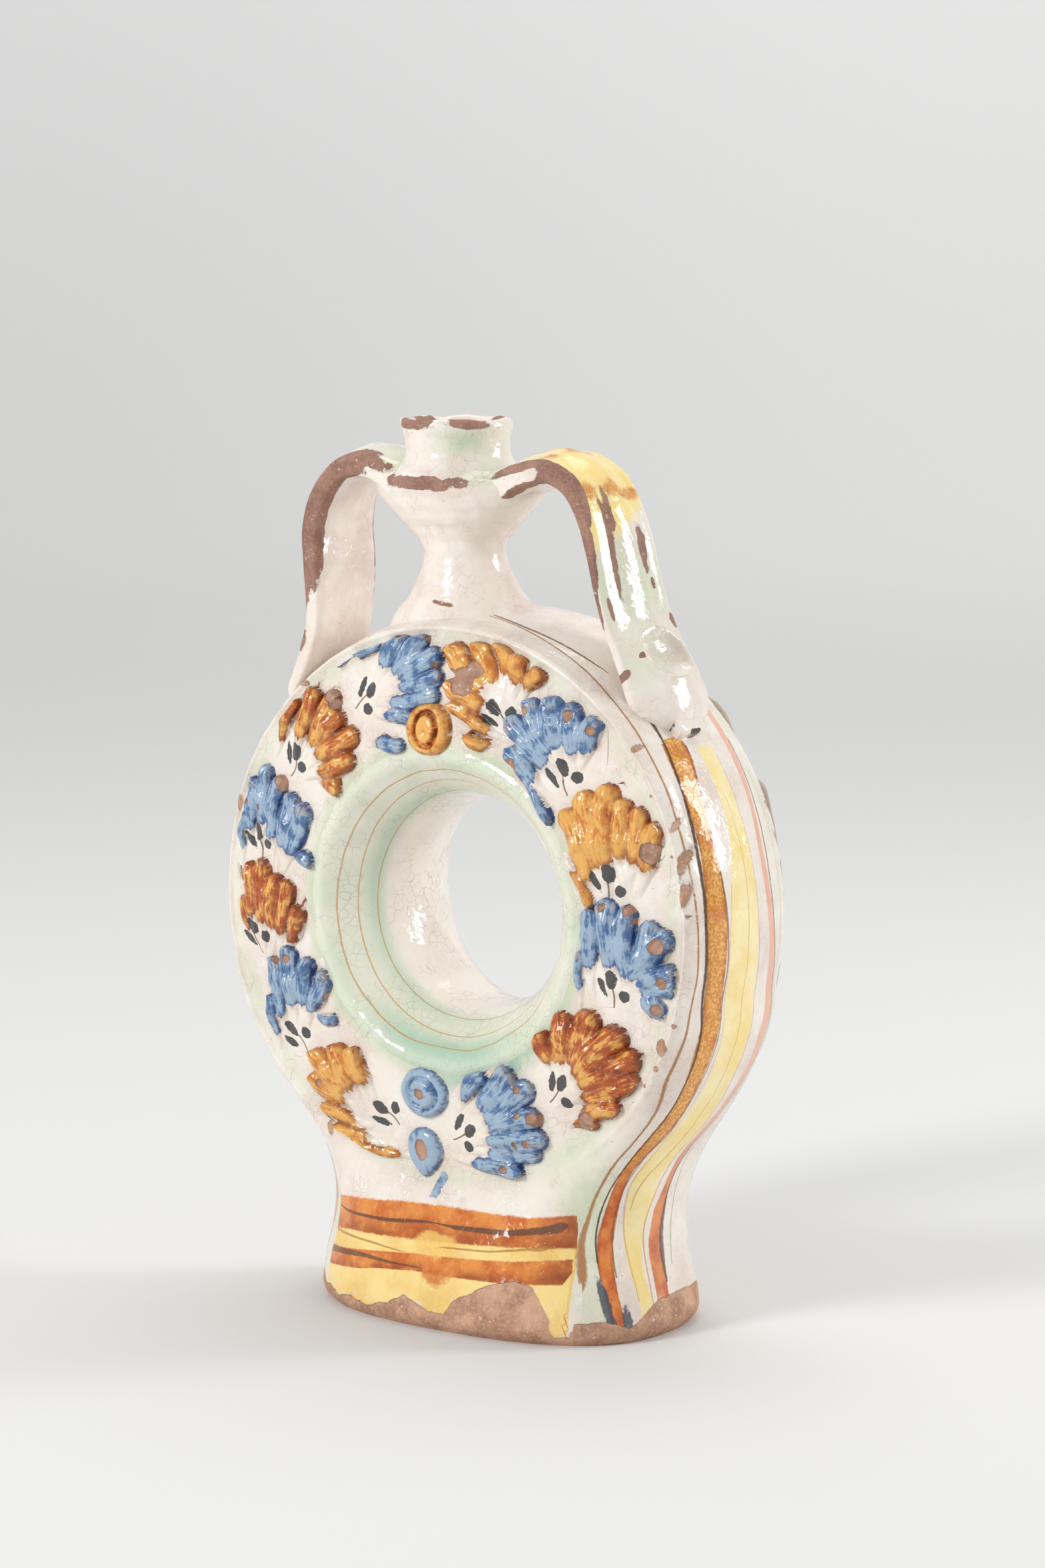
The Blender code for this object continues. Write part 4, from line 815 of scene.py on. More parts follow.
def throatFields(grid):
    # ragged worn places round the rim and the shoulder, green casts on the mouth, a short dash over the foot
    angle = np.degrees(np.arctan2(grid[..., 0] - neck["axisX"] + 3, -(grid[..., 1] - neck["axisY"])))
    z = grid[..., 2]
    bare = deepestOval((angle, z), neckChips, 3) + 0.9 * lumps(grid, 3.4, 31) + 0.5 * lumps(grid, 1.6, 32)
    green = hump(angle, 42, 28) * hump(z, 292.5, 4.5) + 0.5 * hump(angle, 60, 30) * hump(z, 281, 3)
    dash = np.hypot((z - 240.3 + 0.05 * (angle - 13)) / 0.6, np.maximum(np.abs(angle - 21) - 9, 0) / 3)
    return dict(greenCast=np.clip(green, 0, 1), bareClay=bare, neckLine=dash)


def neckGlaze():
    # cream with the dash, worn to brown
    n = glazeTree("neckGlaze")
    colour, web = creamGround(n, 0.22)
    colour = stripe(n, colour, "neckLine", "neckLine", 0.45, 0.9, 0.4)
    return glazeOver(n, colour, web, tones=("wornDark", "worn", "wornPale"))


throat, mouthStart, mouthEnd = throatGrid()
throatWay = throatNormals(throat)
neckMaterial = neckGlaze()
inside, outside = np.arange(mouthEnd, throat.shape[1]), np.arange(mouthStart + 1)
for name, rows, node in (("neck", np.concatenate([inside, outside]), "neck"),
                         ("mouth", np.arange(mouthStart, mouthEnd + 1), "spout")):
    grid = throat[:, rows]
    putDown(name, grid, throatWay[:, rows], neckMaterial, node, closed=True,
            fields=throatFields(grid))
print("neck put down")

# strap handles; each route point: x, z, thickness of the strap's edge, half its width
straps = dict(midY=-5.0, crown=2.2, tilt=2.4, groove=1.2, ribs=2, round=84, steps=190, lump=0.28,
              thumb=(0.797, 10.2, 3.4), sunk=4.0, boxy=0.42,
              begin=10.5,  # begin: where the strap leaves the neck's wall
              left=[(-19, 271.5, 9, 9), (-25, 274, 10, 11), (-34, 279.4, 10, 13), (-43.6, 283.5, 8.6, 14.6),
                    (-53.8, 282.3, 8, 14.8), (-62.2, 274, 8, 15.2), (-65.4, 262.4, 8, 16.6),
                    (-64.8, 250.2, 7.8, 17), (-64.8, 239, 7.4, 15.9), (-65.6, 229, 7, 15.4),
                    (-69, 219.5, 6.6, 15.6), (-73.4, 211.6, 5.6, 15.6), (-76, 207.4, 5, 15),
                    (-76.3, 204, 4, 14.5), (-74.8, 200.6, 3, 14)],
              right=[(-7, 271.5, 9, 9), (1, 274, 10, 10.6), (10, 278.6, 10, 12.6), (20, 282.6, 8.8, 14.4),
                     (30, 284, 8, 14.6), (38.8, 280, 7.4, 14.8), (44.9, 271.6, 6.2, 15.6),
                     (49.4, 260, 4.8, 16.6), (53, 247, 3.9, 17.2), (56.6, 236, 4, 17.4), (62, 225.5, 5, 17.4),
                     (68.2, 217.5, 5.6, 17), (73.4, 210.6, 5, 16), (74.4, 206.8, 5, 15.4),
                     (73.2, 203.4, 4, 15), (70, 199.6, 3, 14)])
wholeSpan = 1e9  # a half span that takes in the whole edge
# worn places: centre along, across and on the edge (-1 inside, 1 outside), half spans the same way, depth
strapChips = dict(
    right=[(0.22, -1.0, 0.75, 0.1, 0.22, 0.42, 2.4), (0.19, -0.95, -1.0, 0.11, 0.3, 0.4, 2.2),
           (0.37, -1.0, 0.15, 0.11, 0.2, 2.0, 5), (0.5, -1.0, -0.1, 0.12, 0.1, 1.0, 4),
           (0.62, -1.0, -0.5, 0.08, 0.08, 0.7, 3), (0.52, -0.5, 0, 0.11, 0.075, wholeSpan, 1.6),
           (0.43, -0.36, 0, 0.05, 0.04, wholeSpan, 1.6), (0.52, 0.42, 0, 0.055, 0.13, wholeSpan, 1.2),
           (0.61, 0.55, 0, 0.014, 0.06, wholeSpan, 1.6), (0.709, 0.84, 0, 0.018, 0.1, wholeSpan, 1.6),
           (0.66, -0.85, 0, 0.03, 0.05, wholeSpan, 1.6), (0.79, -0.6, 0, 0.007, 0.07, wholeSpan, 1.6),
           (0.815, -1.0, 0, 0.009, 0.07, wholeSpan, 1.6)],
    left=[(0.43, -1.0, 0.1, 0.225, 0.3, 2.2, 6), (0.64, -1.0, 0.75, 0.07, 0.2, 0.5, 3),
          (0.27, -0.8, 1.0, 0.075, 0.3, 0.7, 2.4), (0.22, -1.0, 0.6, 0.07, 0.2, 0.6, 2),
          (0.54, 0.97, -0.8, 0.14, 0.08, 0.4, 1.5), (0.8, -0.97, 0.7, 0.03, 0.1, 0.5, 1.6)])
# rust spots on the right strap's yellow: along, across, half spans, depth
rustSpots = [(0.285, 0.2, 0.018, 0.4, 2), (0.27, -0.6, 0.015, 0.2, 2), (0.385, -0.7, 0.02, 0.2, 2),
             (0.39, -0.1, 0.018, 0.25, 2), (0.405, 0.55, 0.014, 0.4, 2)]


def strapGrid(route):
    # a rounded flat section, crowned and grooved outside, carried along a smooth line in the ring's plane
    route = np.array(route, float)
    length = lengthAlong(route[:, :2])
    at = np.linspace(straps["begin"], length[-1], straps["steps"])
    line = curveThrough(at, length, route)
    run = unit(np.gradient(line[:, :2], axis=0))
    outward = -1 if route[-1, 0] < 0 else 1
    out = np.stack([-run[:, 1] * outward, run[:, 0] * outward], 1)[None]
    share = (at / length[-1])[None, :]
    turn = roundTurn(straps["round"])
    edge, half = line[None, :, 2] / 2, line[None, :, 3]
    ending = smoothStep(share, 0.84, 1)
    across, high = boxed(np.cos(turn), straps["boxy"]), boxed(np.sin(turn), straps["boxy"])
    top = smoothStep(high, 0.1, 0.95)
    ribs = straps["groove"] * smoothStep(share, 0.1, 0.26) * (1 - smoothStep(share, 0.62, 0.8))
    rib = ribs * (0.5 - 0.5 * np.cos(math.pi * straps["ribs"] * (across + 1)))
    tilt = straps["tilt"] * smoothStep(share, 0.12, 0.3) * (1 - ending) * (across + 1) / 2
    height = edge * high + top * (straps["crown"] * (1 - 0.8 * ending) * (1 - across ** 2) - rib + tilt)
    # thumb print near the foot: a bowl with a raised rim
    place, wide, deep = straps["thumb"]
    far = np.hypot(at[None, :] - place * length[-1], across * half - 0.5)
    bowl = top * (1.1 * hump(far, wide + 0.9, 1.3) - deep * np.maximum(1 - (far / wide) ** 2, 0))
    # the edges sink into the ring near the foot, and the one on the ring's shown side the most on the right
    shownSide = 1.2 - 0.8 * across * outward
    height = height + bowl - straps["sunk"] * shownSide * np.abs(across) ** 3 * smoothStep(share, 0.74, 0.95)
    grid = np.stack([line[None, :, 0] + out[..., 0] * height, straps["midY"] + across * half + 0 * share,
                     line[None, :, 1] + out[..., 1] * height], -1)
    return grid, (share + 0 * across, across + 0 * share, high + 0 * share)


def strapFields(grid, on, name):
    # worn places and paint by the share along the strap, the place across it and the height on its edge
    share, across, high = on
    bare = deepestOval(on, strapChips[name])
    ragged = 0.55 * lumps(grid, 3.2, 33) + 0.35 * lumps(grid, 1.4, 34)
    bare = np.where(bare > noPatch + 0.1, bare + ragged, bare)
    outside = smoothStep(high, 0.2, 0.8)
    yellow = rust = np.full(share.shape, noPatch)
    if name == "right":
        yellow = np.where(outside > 0.3, np.minimum(share - 0.2, 0.475 - 0.05 * across - share) * 60, noPatch)
        rust = np.where(outside > 0.3, deepestOval((share, across), rustSpots), noPatch)
    roots = 1.2 * hump(share, 0.15, 0.07) + 0.9 * hump(share, 0.6, 0.1) + 0.6 * hump(share, 0.8, 0.06)
    green = roots * (0.6 + 0.6 * lumps(grid, 14, 12)) * outside
    return dict(greenCast=np.clip(green, 0, 1), bareClay=bare, yellowPatch=yellow, rustPatch=rust)


def strapGlaze():
    # cream with a yellow bend and rust spots, worn to brown
    n = glazeTree("strapGlaze")
    colour, web = creamGround(n, 0.15)
    yellow = n.clouded("yellow", "yellowStrap", 9, 3, 0.4, 0.7)
    colour = patch(n, colour, "yellowPatch", yellow, 1.6, 0.95, 1.2)
    colour = patch(n, colour, "rustPatch", n.mix(0.3, ochreTone(n), "ochreStrap"), 0.8, 0.85, 0.8)
    return glazeOver(n, colour, web, tones=("wornDark", "worn", "wornPale"))


strapMaterial = strapGlaze()
for side, name in ((-1, "left"), (1, "right")):
    grid, on = strapGrid(straps[name])
    normals = facing(grid, grid - grid.mean(axis=0), True)
    grid = grid + normals * (straps["lump"] * lumps(grid, 15, 20 + side))[..., None]
    putDown(name + "Strap", grid, normals, strapMaterial, "handle_" + name, closed=True,
            fields=strapFields(grid, on, name), caps=(0, -1))
print("handles put down")

# cord lugs; gap is the way from the strap's end, and footPoint the strap's route point that it counts from
lugs = dict(length=15.0, width=15.0, height=3.9, boxy=0.5, hole=1.1, holeRise=2.0, gap=3.4, footPoint=-4,
            round=56, steps=41)


def lugGrid(name, side):
    # a rounded square section swept across the band, drawn in at both ends
    x, z = straps[name][lugs["footPoint"]][:2]
    angle = math.atan2(x, z - ring["height"]) + side * lugs["gap"] / ring["crest"]
    turn, along = roundTurn(lugs["round"]), np.linspace(-1, 1, lugs["steps"])[None, :]
    shrink = np.maximum((1 - np.abs(along) ** 7) ** 0.3, 0.02)
    a = boxed(np.cos(turn), lugs["boxy"]) * lugs["length"] / 2 * (0.6 + 0.4 * shrink)
    b = boxed(np.sin(turn), lugs["boxy"]) * lugs["height"]
    b = np.where(b > 0, b * (0.7 + 0.3 * shrink), b)
    tips = np.where(np.abs(along) >= 0.999, 0.02, 1.0)
    a, b = a * tips, lugs["holeRise"] + (b - lugs["holeRise"]) * tips
    radius = ring["crest"] + b
    grid = np.stack([radius * math.sin(angle) + a * math.cos(angle),
                     straps["midY"] + along * lugs["width"] / 2 + 0 * turn,
                     ring["height"] + radius * math.cos(angle) - a * math.sin(angle)], -1)
    hole = lugs["hole"] - np.hypot(a, b - lugs["holeRise"])
    ends = smoothStep(np.abs(along), 0.9, 0.97)
    on = (side * a / lugs["length"], along + 0 * a)  # -0.5 under the handle to 0.5, and along the lug
    crack = deepestOval(on, [(0.47, 0.05, 0.04, 0.45, 0.6)]) + 0.25 * lumps(grid, 1.6, 42)
    chip = deepestOval(on, [(-0.15, -0.9, 0.15, 0.22, 1.2)]) + 0.5 * lumps(grid, 1.6, 41)
    # painted shade: the holes are not cut; their dark inside is painted on the drawn-in ends, and the crack
    # beside them is dark as well
    return grid, dict(greenCast=0 * a, bareClay=chip, holeShadeAndCrack=np.maximum(hole * ends - 3 * (1 - ends), crack))


def lugGlaze():
    # cream with the holes painted dark as their shade, and a dark crack
    n = glazeTree("lugGlaze")
    colour, web = creamGround(n, 0.15)
    return glazeOver(n, patch(n, colour, "holeShadeAndCrack", "hole", 0.3), web)


lugMaterial = lugGlaze()
for side, name in ((-1, "left"), (1, "right")):
    grid, fields = lugGrid(name, side)
    putDown(name + "Lug", grid, facing(grid, grid - grid.mean(axis=0), True), lugMaterial,
            "cord_lug_" + name, closed=True, fields=fields, caps=(0, -1))
print("lugs put down")

# garland; free is the room on the face, squeeze what a leaf keeps of its reach past it, swell its soft lumps
sprig = dict(spacing=0.42, sink=0.35, mound=2.0, moundSpread=9.5, free=(54.5, 90.5), squeeze=0.3, highest=4.6,
             swell=1.3)
# the three black marks of a leaf: a, f, half width, half height, tilt
petals = [(-3.3, -1.1, 1.35, 3.7, 28), (0.4, 1.8, 2.0, 3.3, 12), (4.7, -3.0, 2.2, 2.0, 20)]
# leaf, colour, place of its marks (x, z), their bearing, how deep the colour is, then from that place its
# tongues (inner end, outer end, half width) and its chips (place, size)
leaves = [
    ("right_1", "ochre", 21.8, 207.2, -32.6, 0.45,
     [(-3.4, -10.9, -10.1, -9.8, 2.5), (-3.4, -5.7, -17, 0.5, 2.8), (-6, 1.5, -17.7, 7.3, 3.9),
      (-5.1, 7.5, -18.5, 17.7, 4.6), (-1.6, 11.1, -8.8, 20.2, 3.6), (2.5, 13.3, 1.4, 23.9, 3.8),
      (6.3, 10.4, 8.1, 18.6, 3.8), (11.5, 8.3, 15.6, 14.1, 3.1)],
     [(-12.3, 9, 4.5), (-7.8, 13.2, 2.7), (-17, 10.7, 2.4)]),
    ("right_2", "cobalt", 48.2, 189.5, -9.6, 0.45,
     [(-14, -3.6, -4.4, -16.3, 2.1), (-11.1, -3.4, -18.9, 4.7, 3.9), (-7.1, 2.4, -19.7, 14.6, 4.1),
      (-4.2, 6.6, -13.9, 20, 3.9), (-1.3, 8, -6.1, 21.2, 4.1), (3.6, 7.2, 2.5, 20.1, 3.8),
      (7.5, 7.5, 10.4, 16.5, 3.5)],
     [(-14.8, 18.7, 2), (-18.1, 1.3, 2.1), (2, 18.1, 1.7), (11, 14.3, 1.6)]),
    ("right_3", "ochre", 66.1, 155.9, 2.3, 0.3,
     [(-12.6, 0.9, -6, -7.7, 2.3), (-6.8, 1.2, -15, 19.5, 4.4), (-3.4, 4.7, -8.8, 25.6, 4.7),
      (-1.2, 6.7, -1.8, 28.2, 4.5), (5.2, 7.7, 4.3, 24.5, 3.6), (8.7, 6.9, 11.1, 22.1, 3.4),
      (12.7, 4.7, 16.7, 17.7, 3.8)],
     [(15.7, 10.1, 3.4)]),
    ("right_4", "cobalt", 67.6, 122.2, 1.9, 0.35,
     [(-12.4, -2.4, -11.5, 9.1, 2), (-8, 5.3, -8.2, 22.1, 3.4), (-0.7, 6.8, -1.5, 25.5, 4.1),
      (5.5, 3.6, 5.3, 24.1, 3.6), (10.4, 4.1, 13.6, 19.5, 3.9), (7.9, 4.3, 19.4, 16.5, 3.9),
      (9.8, 1.1, 21.9, 5.8, 3.1), (10.8, -1, 22.4, 0.9, 2.8), (12.3, -1.9, 15.8, -7.9, 3.3)],
     [(7.4, 24.7, 1.9), (10, 21.6, 1.7), (17.5, 14, 2.4), (18.6, 2.2, 1.8), (16.1, -7.1, 1.7), (-2.4, 25, 1)]),
    ("right_5", "ochre", 47.2, 86.6, 40, 0.9,
     [(-3.7, 8.1, -7.2, 15.5, 3.5), (0.9, 9.4, 1.8, 22.2, 4.4), (6.3, 8.7, 12.4, 23.4, 4.8),
      (7.9, 5.2, 21.9, 19.1, 4.8), (9.9, 1.6, 27.3, 11.8, 4.1), (10.4, -2.3, 28.2, 3.9, 3.6),
      (8, -9.3, 20.4, -5, 3.4), (5.7, -12.6, 12.5, -10.8, 2.3)],
     [(9.5, -10.8, 3.3), (30.6, 2.1, 1.6)]),
    ("right_6", "cobalt", 9.4, 67.0, 60, 0.4,
     [(-0.1, 11.7, 6.3, 19.4, 3.1), (8.2, 9.1, 17.2, 20.7, 4.7), (9.9, 5.5, 25.4, 16.5, 4.1),
      (11.5, 1.6, 27.7, 7.9, 3.6), (10.9, -2.5, 29.3, 0.6, 3.5), (9.2, -6.8, 27, -5.2, 3.3),
      (2.6, -11, 20.1, -12.1, 3)],
     [(28.2, 7, 2.4), (20.9, -2.1, 1.3), (25.1, -1.2, 1.2), (22.5, 7.9, 0.9), (15.1, -11.3, 1.2),
      (22.5, 16.9, 1.5)]),
    ("left_1", "cobalt", -31.7, 209.6, 46, 0.45,
     [(4.8, 17.3, -4.7, 12.5, 1.8), (6.9, 9.6, 12.8, 21.4, 4), (12.2, 8.8, 22.4, 20.3, 3.6),
      (14.5, 6.2, 27.8, 14.3, 3.7), (14.8, 2.6, 29.3, 7.5, 3.2), (12.3, -2.1, 28.6, 0.8, 2.9),
      (9.6, -6.4, 18.7, -6.5, 2.7), (6, -16.5, 15.4, -16.2, 2.7)],
     [(26.2, 19.1, 1.9), (13.6, 22.2, 1.2), (28.8, 10.9, 1.2)]),
    ("left_2", "ochre", -62.7, 186.7, 19.1, 0.75,
     [(-6.7, 6, -0.7, 18.1, 2.4), (2.6, 6.7, 7.4, 21.3, 3.6), (8.1, 4.8, 16.6, 20.1, 3.8),
      (12.7, 6.3, 19.4, 14.2, 3.3), (12.3, 1, 25.6, 8.8, 3.8), (12.3, -4.7, 25, -0, 3.5),
      (14.8, -8.2, 19.5, -9.7, 3.1)],
     [(16.2, 21.3, 2.3), (17.9, 18.7, 1.6)]),
    ("left_3", "cobalt", -79.3, 158.1, -8.2, 0.55,
     [(-7.8, -4, -5.8, 6.6, 1.9), (-3.3, 3.1, -1.8, 17.9, 3), (2, 4.7, 4, 22.1, 3.4),
      (7, 0.5, 9.9, 19.1, 3.4), (12.2, -1.4, 15.7, 13.9, 3.5), (15.1, -3.7, 22, 10.1, 4),
      (18.9, -5.4, 23.9, -7.1, 2.6)],
     [(11.6, 20.3, 1.8), (12.7, 17.4, 1.4), (20.2, 10.3, 1.1), (2.4, 9.5, 0.7), (-3.4, 11.5, 0.9)]),
    ("left_4", "ochre", -81.6, 124.3, -25, 0.9,
     [(-2.9, 1.9, -4.7, 11.4, 1.9), (0.1, 5.7, -1.3, 22.1, 3.5), (4.6, 4.5, 5.2, 23.9, 3.8),
      (9, 3.8, 11, 19.5, 3.5), (13.3, 1.2, 16.2, 17.9, 3.2), (17.1, -0.7, 22, 9.3, 3.1)],
     [(6, 24.7, 1), (-3.2, 17.4, 1.1)]),
    ("left_5", "cobalt", -64.3, 91.3, -38, 0.5,
     [(-8.7, 0.1, -10.6, 10.7, 2.3), (-4.8, 6.4, -8.1, 23.5, 3.5), (0.2, 10.4, -0.7, 27.7, 4.1),
      (5.3, 10.9, 7.4, 25.1, 3.5), (9.6, 10.3, 15.2, 21.3, 3.5), (12.6, 7.1, 19.1, 6.1, 2)],
     [(-5.1, 26, 2.2), (0.1, 26.1, 1.5), (17.3, 14.3, 1.7), (-12.3, 18.8, 0.7)]),
    ("left_6", "ochre", -25.7, 68.8, -52, 0.3,
     [(-7.1, 9.7, -12.2, 18.4, 3.8), (-12.7, 6.8, -19.1, 18.8, 4.2), (-16.8, 4.9, -27.9, 15.7, 4.6),
      (-17.2, 2.6, -30.1, 6.8, 4), (-13.4, -4.7, -25.6, -2, 2.8), (-9, -10.3, -20.4, -8.3, 2.8),
      (4.8, -14.5, -12.4, -12.3, 2.2)],
     [(-27.2, 6.4, 1.2)])]


def sprigHeight(a, f, tongues, rng):
    # tongues are oval ridges about their own lines, from the calyx to a round tip, joined by the cube root of
    # the sum of their cubes, which fills the folds
    best, valley, outward, cubes = np.zeros_like(a), np.ones_like(a), np.zeros_like(a), np.zeros_like(a)
    edge, stroke = np.full_like(a, -5.0), np.zeros(a.shape + (2,))
    for number, (rootA, rootF, tipA, tipF, half) in enumerate(tongues):
        jitter = rng.uniform(-1, 1, 4)
        length = math.hypot(tipA - rootA, tipF - rootF) + 0.3 * half
        goA, goF = (tipA - rootA) / length, (tipF - rootF) / length
        high = min(0.8 * half + 1.2, sprig["highest"]) * (1 + 0.12 * jitter[0])
        along = ((a - rootA) * goA + (f - rootF) * goF) / length
        side = (a - rootA) * goF - (f - rootF) * goA + 0.45 * np.sin(along * 4.5 + number * 2)
        start = 1 - min(0.95 * half / length, 0.8)
        tip = np.clip(1 - np.clip((along - start) / (1 - start), 0, 1) ** 2, 0, 1)
        wide = half * (0.45 + 0.55 * smoothStep(along, -0.4, 0.4)) * np.sqrt(tip)
        cross = np.sqrt(np.clip(1 - (side / np.maximum(wide, 1e-3)) ** 2, 0, 1))
        rise = high * (0.22 + 0.78 * smoothStep(along, -0.35, 0.6)) * smoothStep(along, -0.75, -0.3)
        veins = 0.15 * np.cos(side * 3.1 + number) * smoothStep(along, 0.1, 0.5)
        height = (rise + veins) * cross
        here = np.minimum(wide * 1.02 + 0.45 * smoothStep(along, 0.5, 0.9) - np.abs(side),
                          along * length + 1.4 + 0.8 * jitter[1] - 3.0 * (side / half) ** 2)
        higher = (height > best) | ((best < 0.02) & (here > edge))
        best = np.maximum(height, best)
        cubes = cubes + height ** 3
        edge, valley = np.where(higher, here, edge), np.where(higher, 1 - cross, valley)
        outward = np.where(higher, along, outward)
        strokeHere = np.stack([side, along * length + number * 37], -1)
        stroke = np.where(higher[..., None], strokeHere, stroke)
    return np.cbrt(cubes), edge, stroke, valley, outward


def petalFields(a, f, rng):
    # three tilted ovals, each shifted a little, and a stem that swings like a sine between its two ends
    marks = np.full_like(a, noPatch)
    shift = rng.uniform(-0.6, 0.6, (3, 2))
    for (atA, atF, wide, high, tilt), (moveA, moveF) in zip(petals, shift):
        turn = math.radians(tilt)
        da, df = a - atA - moveA, f - atF - moveF
        x, y = da * math.cos(turn) + df * math.sin(turn), -da * math.sin(turn) + df * math.cos(turn)
        marks = np.maximum(marks, (1 - np.hypot(x / wide, y / high)) * wide)
    path = 0.5 + rng.uniform(-0.8, 1.4) * np.sin((f + 8) * math.pi / 9)
    ends = smoothStep(f, -8.6, -8.0) * (1 - smoothStep(f, 0.2, 0.8))
    return marks, (a - path) / 0.24 + offMark * (1 - ends)


def onFace(px, pz, top, shown):  # points on the field under the garland, raised by top, on either face
    side = -1 if shown else 1
    return np.stack([px * -side, (plainDepth(px, pz) + top) * side, pz], -1)


def leafGrid(entry, shown, seed):
    # tongues over a soft mound, with lumps and sunk chips, drawn in where they'd run over the lip or the ridge
    name, colour, x, z, bearing, tone, tongues, ownChips = entry
    rng = np.random.default_rng(seed)
    spread = np.array(tongues)
    tips = spread[:, 2:4]
    (lowA, lowF), (highA, highF) = np.minimum(tips.min(axis=0), (-8, -9)), np.maximum(tips.max(axis=0), (8, 7))
    a, f = np.meshgrid(np.arange(lowA - 5, highA + 5, sprig["spacing"]),
                       np.arange(lowF - 5, highF + 5, sprig["spacing"]), indexing="ij")
    chips = ownChips if shown else [(t[2] * 0.9, t[3] * 0.9, rng.uniform(1.3, 2.4)) for t in tongues
                                    if rng.random() < 0.4]
    height, edge, stroke, valley, outward = sprigHeight(a, f, tongues, rng)
    turn = math.radians(bearing)
    marks, stem = petalFields(a * math.cos(turn) - f * math.sin(turn), a * math.sin(turn) + f * math.cos(turn),
                              rng)
    middleA, middleF = tips.mean(axis=0) * 0.35
    away = (a - middleA) ** 2 + (f - middleF) ** 2
    mound = sprig["mound"] * np.exp(-away / (2 * sprig["moundSpread"] ** 2))
    flat = np.stack([a, f, 0 * a], -1)
    ragged = 0.35 if colour == "cobalt" else 0.6
    chip = np.full_like(a, noPatch)
    for atA, atF, size in chips:
        chip = np.maximum(chip, size - np.hypot(a - atA, f - atF) + 0.7 * lumps(flat, 2.6, seed + 3))
    uneven = ragged * 0.35 * lumps(flat, 2.4, seed) + sprig["swell"] * lumps(flat, 5.4, seed + 9)
    top = height + 0.75 * mound + uneven * smoothStep(height, 0.3, 1.5)
    top = np.where(height > 0.02, top, mound * 0.75) - sprig["sink"]
    broken = 0.22 * smoothStep(chip, 0.2, 0.8) * lumps(flat, 1.3, seed + 5)
    top = top - 0.8 * smoothStep(chip, -0.1, 0.5) + broken
    px, pz = x + a, z + f - ring["height"]
    radius = np.hypot(px, pz)
    free = np.clip(radius, *sprig["free"])
    share = (free + (radius - free) * sprig["squeeze"]) / radius
    fields = dict(painted=edge, valley=valley, outward=outward, tone=0 * a + tone, petalMark=marks,
                  stemAcross=stem, bareClay=chip, greenCast=0.25 * smoothStep(radius, 84, 90))
    grid = onFace(px * share, ring["height"] + pz * share, top, shown)
    return grid, top > -sprig["sink"] * 0.9, fields, stroke


def leafGlaze(name, pale, middle, dark, serrated):
    # cream, then colour inside the brushed edge, streaked along each stroke: deeper towards the tips and on
    # the darker leaves, and deeper in the folds, which is partly glaze pooled there and partly painted shade;
    # then the black marks and the stem
    n = glazeTree(name)
    colour, web = creamGround(n, 0.12)
    # painted shade: a brownish darkening just outside each leaf's painted edge, partly real dirt and pooled
    # glaze, partly the shade where the relief meets the face
    dirtAndShade = n.times(n.ramp(n.field("painted"), -2.4, -0.1), n.drift(3, 3, 0.35, 0.6, 0.1, 0.5))
    colour = n.mix(dirtAndShade, colour, "leafDirtAndShade")
    strokes = n.make("UVMap", uv_map="stroke")
    streak = n.cloud(0.9, 3, 0.6, place=n.make("Mapping", strokes, None, None, (1.0, 0.14, 1.0)))
    wash = n.sum(n.times(n.cloud(4.6, 4, 0.55), 0.55), n.times(streak, 0.45))
    # painted shade: the colour deepens in the valleys between tongues and in the bosses' grooves and rims, and
    # stays paler on the crests, partly as pooled glaze, partly as shade
    foldPoolAndShade = n.times(n.ramp(n.field("valley"), 0.25, 0.8), n.drift(5, 2, 0.36, 0.6, 0.3, 1.1))
    deep = n.sum(n.sum(n.times(n.field("outward"), 0.2), n.times(foldPoolAndShade, 0.75)),
                 n.sum(n.times(n.field("tone"), 0.4), n.times(n.less(wash, 0.5), 4.6)))
    if serrated:
        middle = n.mix(n.ramp(n.field("tone"), 0.4, 0.9), middle, "ochreRed")
    tone = n.mix(n.ramp(deep, 0.1, 0.6), pale, middle)
    tone = n.mix(n.ramp(deep, 0.6, 1.15), tone, dark)
    if serrated:
        tone = n.clouded(tone, "ochreSpeck", 0.8, 3, 0.55, 0.75, 0.45, 0.6)
    else:
        tone = n.mix(n.ramp(streak, 0.6, 0.75, 0, 0.4), tone, "cobaltStreak")
        thinned = n.times(n.ramp(n.field("outward"), 0.6, 0.95), n.drift(3.2, 4, 0.5, 0.6, 0, 0.7, 0.65))
        tone = n.mix(thinned, tone, "cobaltThin")
    reachOut = n.sum(n.field("painted"), n.times(n.less(streak, 0.5), 4.0 if serrated else 3.0))
    reachOut = n.sum(reachOut, n.swing(0.9, 0.3))
    # colour gathers at the brushed edge
    rim = n.ramp(reachOut, 0.3, 2.4 if serrated else 1.3, 1, 0)
    rim = n.times(rim, n.drift(3.0, 3, 0.35, 0.6, 0.25, 0.85))
    colour = n.mix(n.ramp(reachOut, -0.2, 0.4), colour, n.mix(rim, tone, dark))
    mark = n.sum(n.field("petalMark"), n.swing(1.6, 0.6, 3))
    colour = n.mix(n.ramp(mark, -0.05, 0.12, 0, 0.95), colour, "petalBlack")
    stem = n.sum(n.size(n.field("stemAcross")), n.swing(1.5, 0.3))
    colour = n.mix(n.times(n.ramp(stem, 0.8, 1.5, 1, 0), 0.85), colour, "stem")
    return glazeOver(n, colour, web, gloss=0.035, wave=0.9, tones=("chipDark", "chip", "chipPale"), grain=0.42)


leafMaterials = dict(cobalt=leafGlaze("cobaltLeafGlaze", "cobaltPale", "cobalt", "cobaltDark", False),
                     ochre=leafGlaze("ochreLeafGlaze", "ochreLight", "ochre", "ochreDark", True))


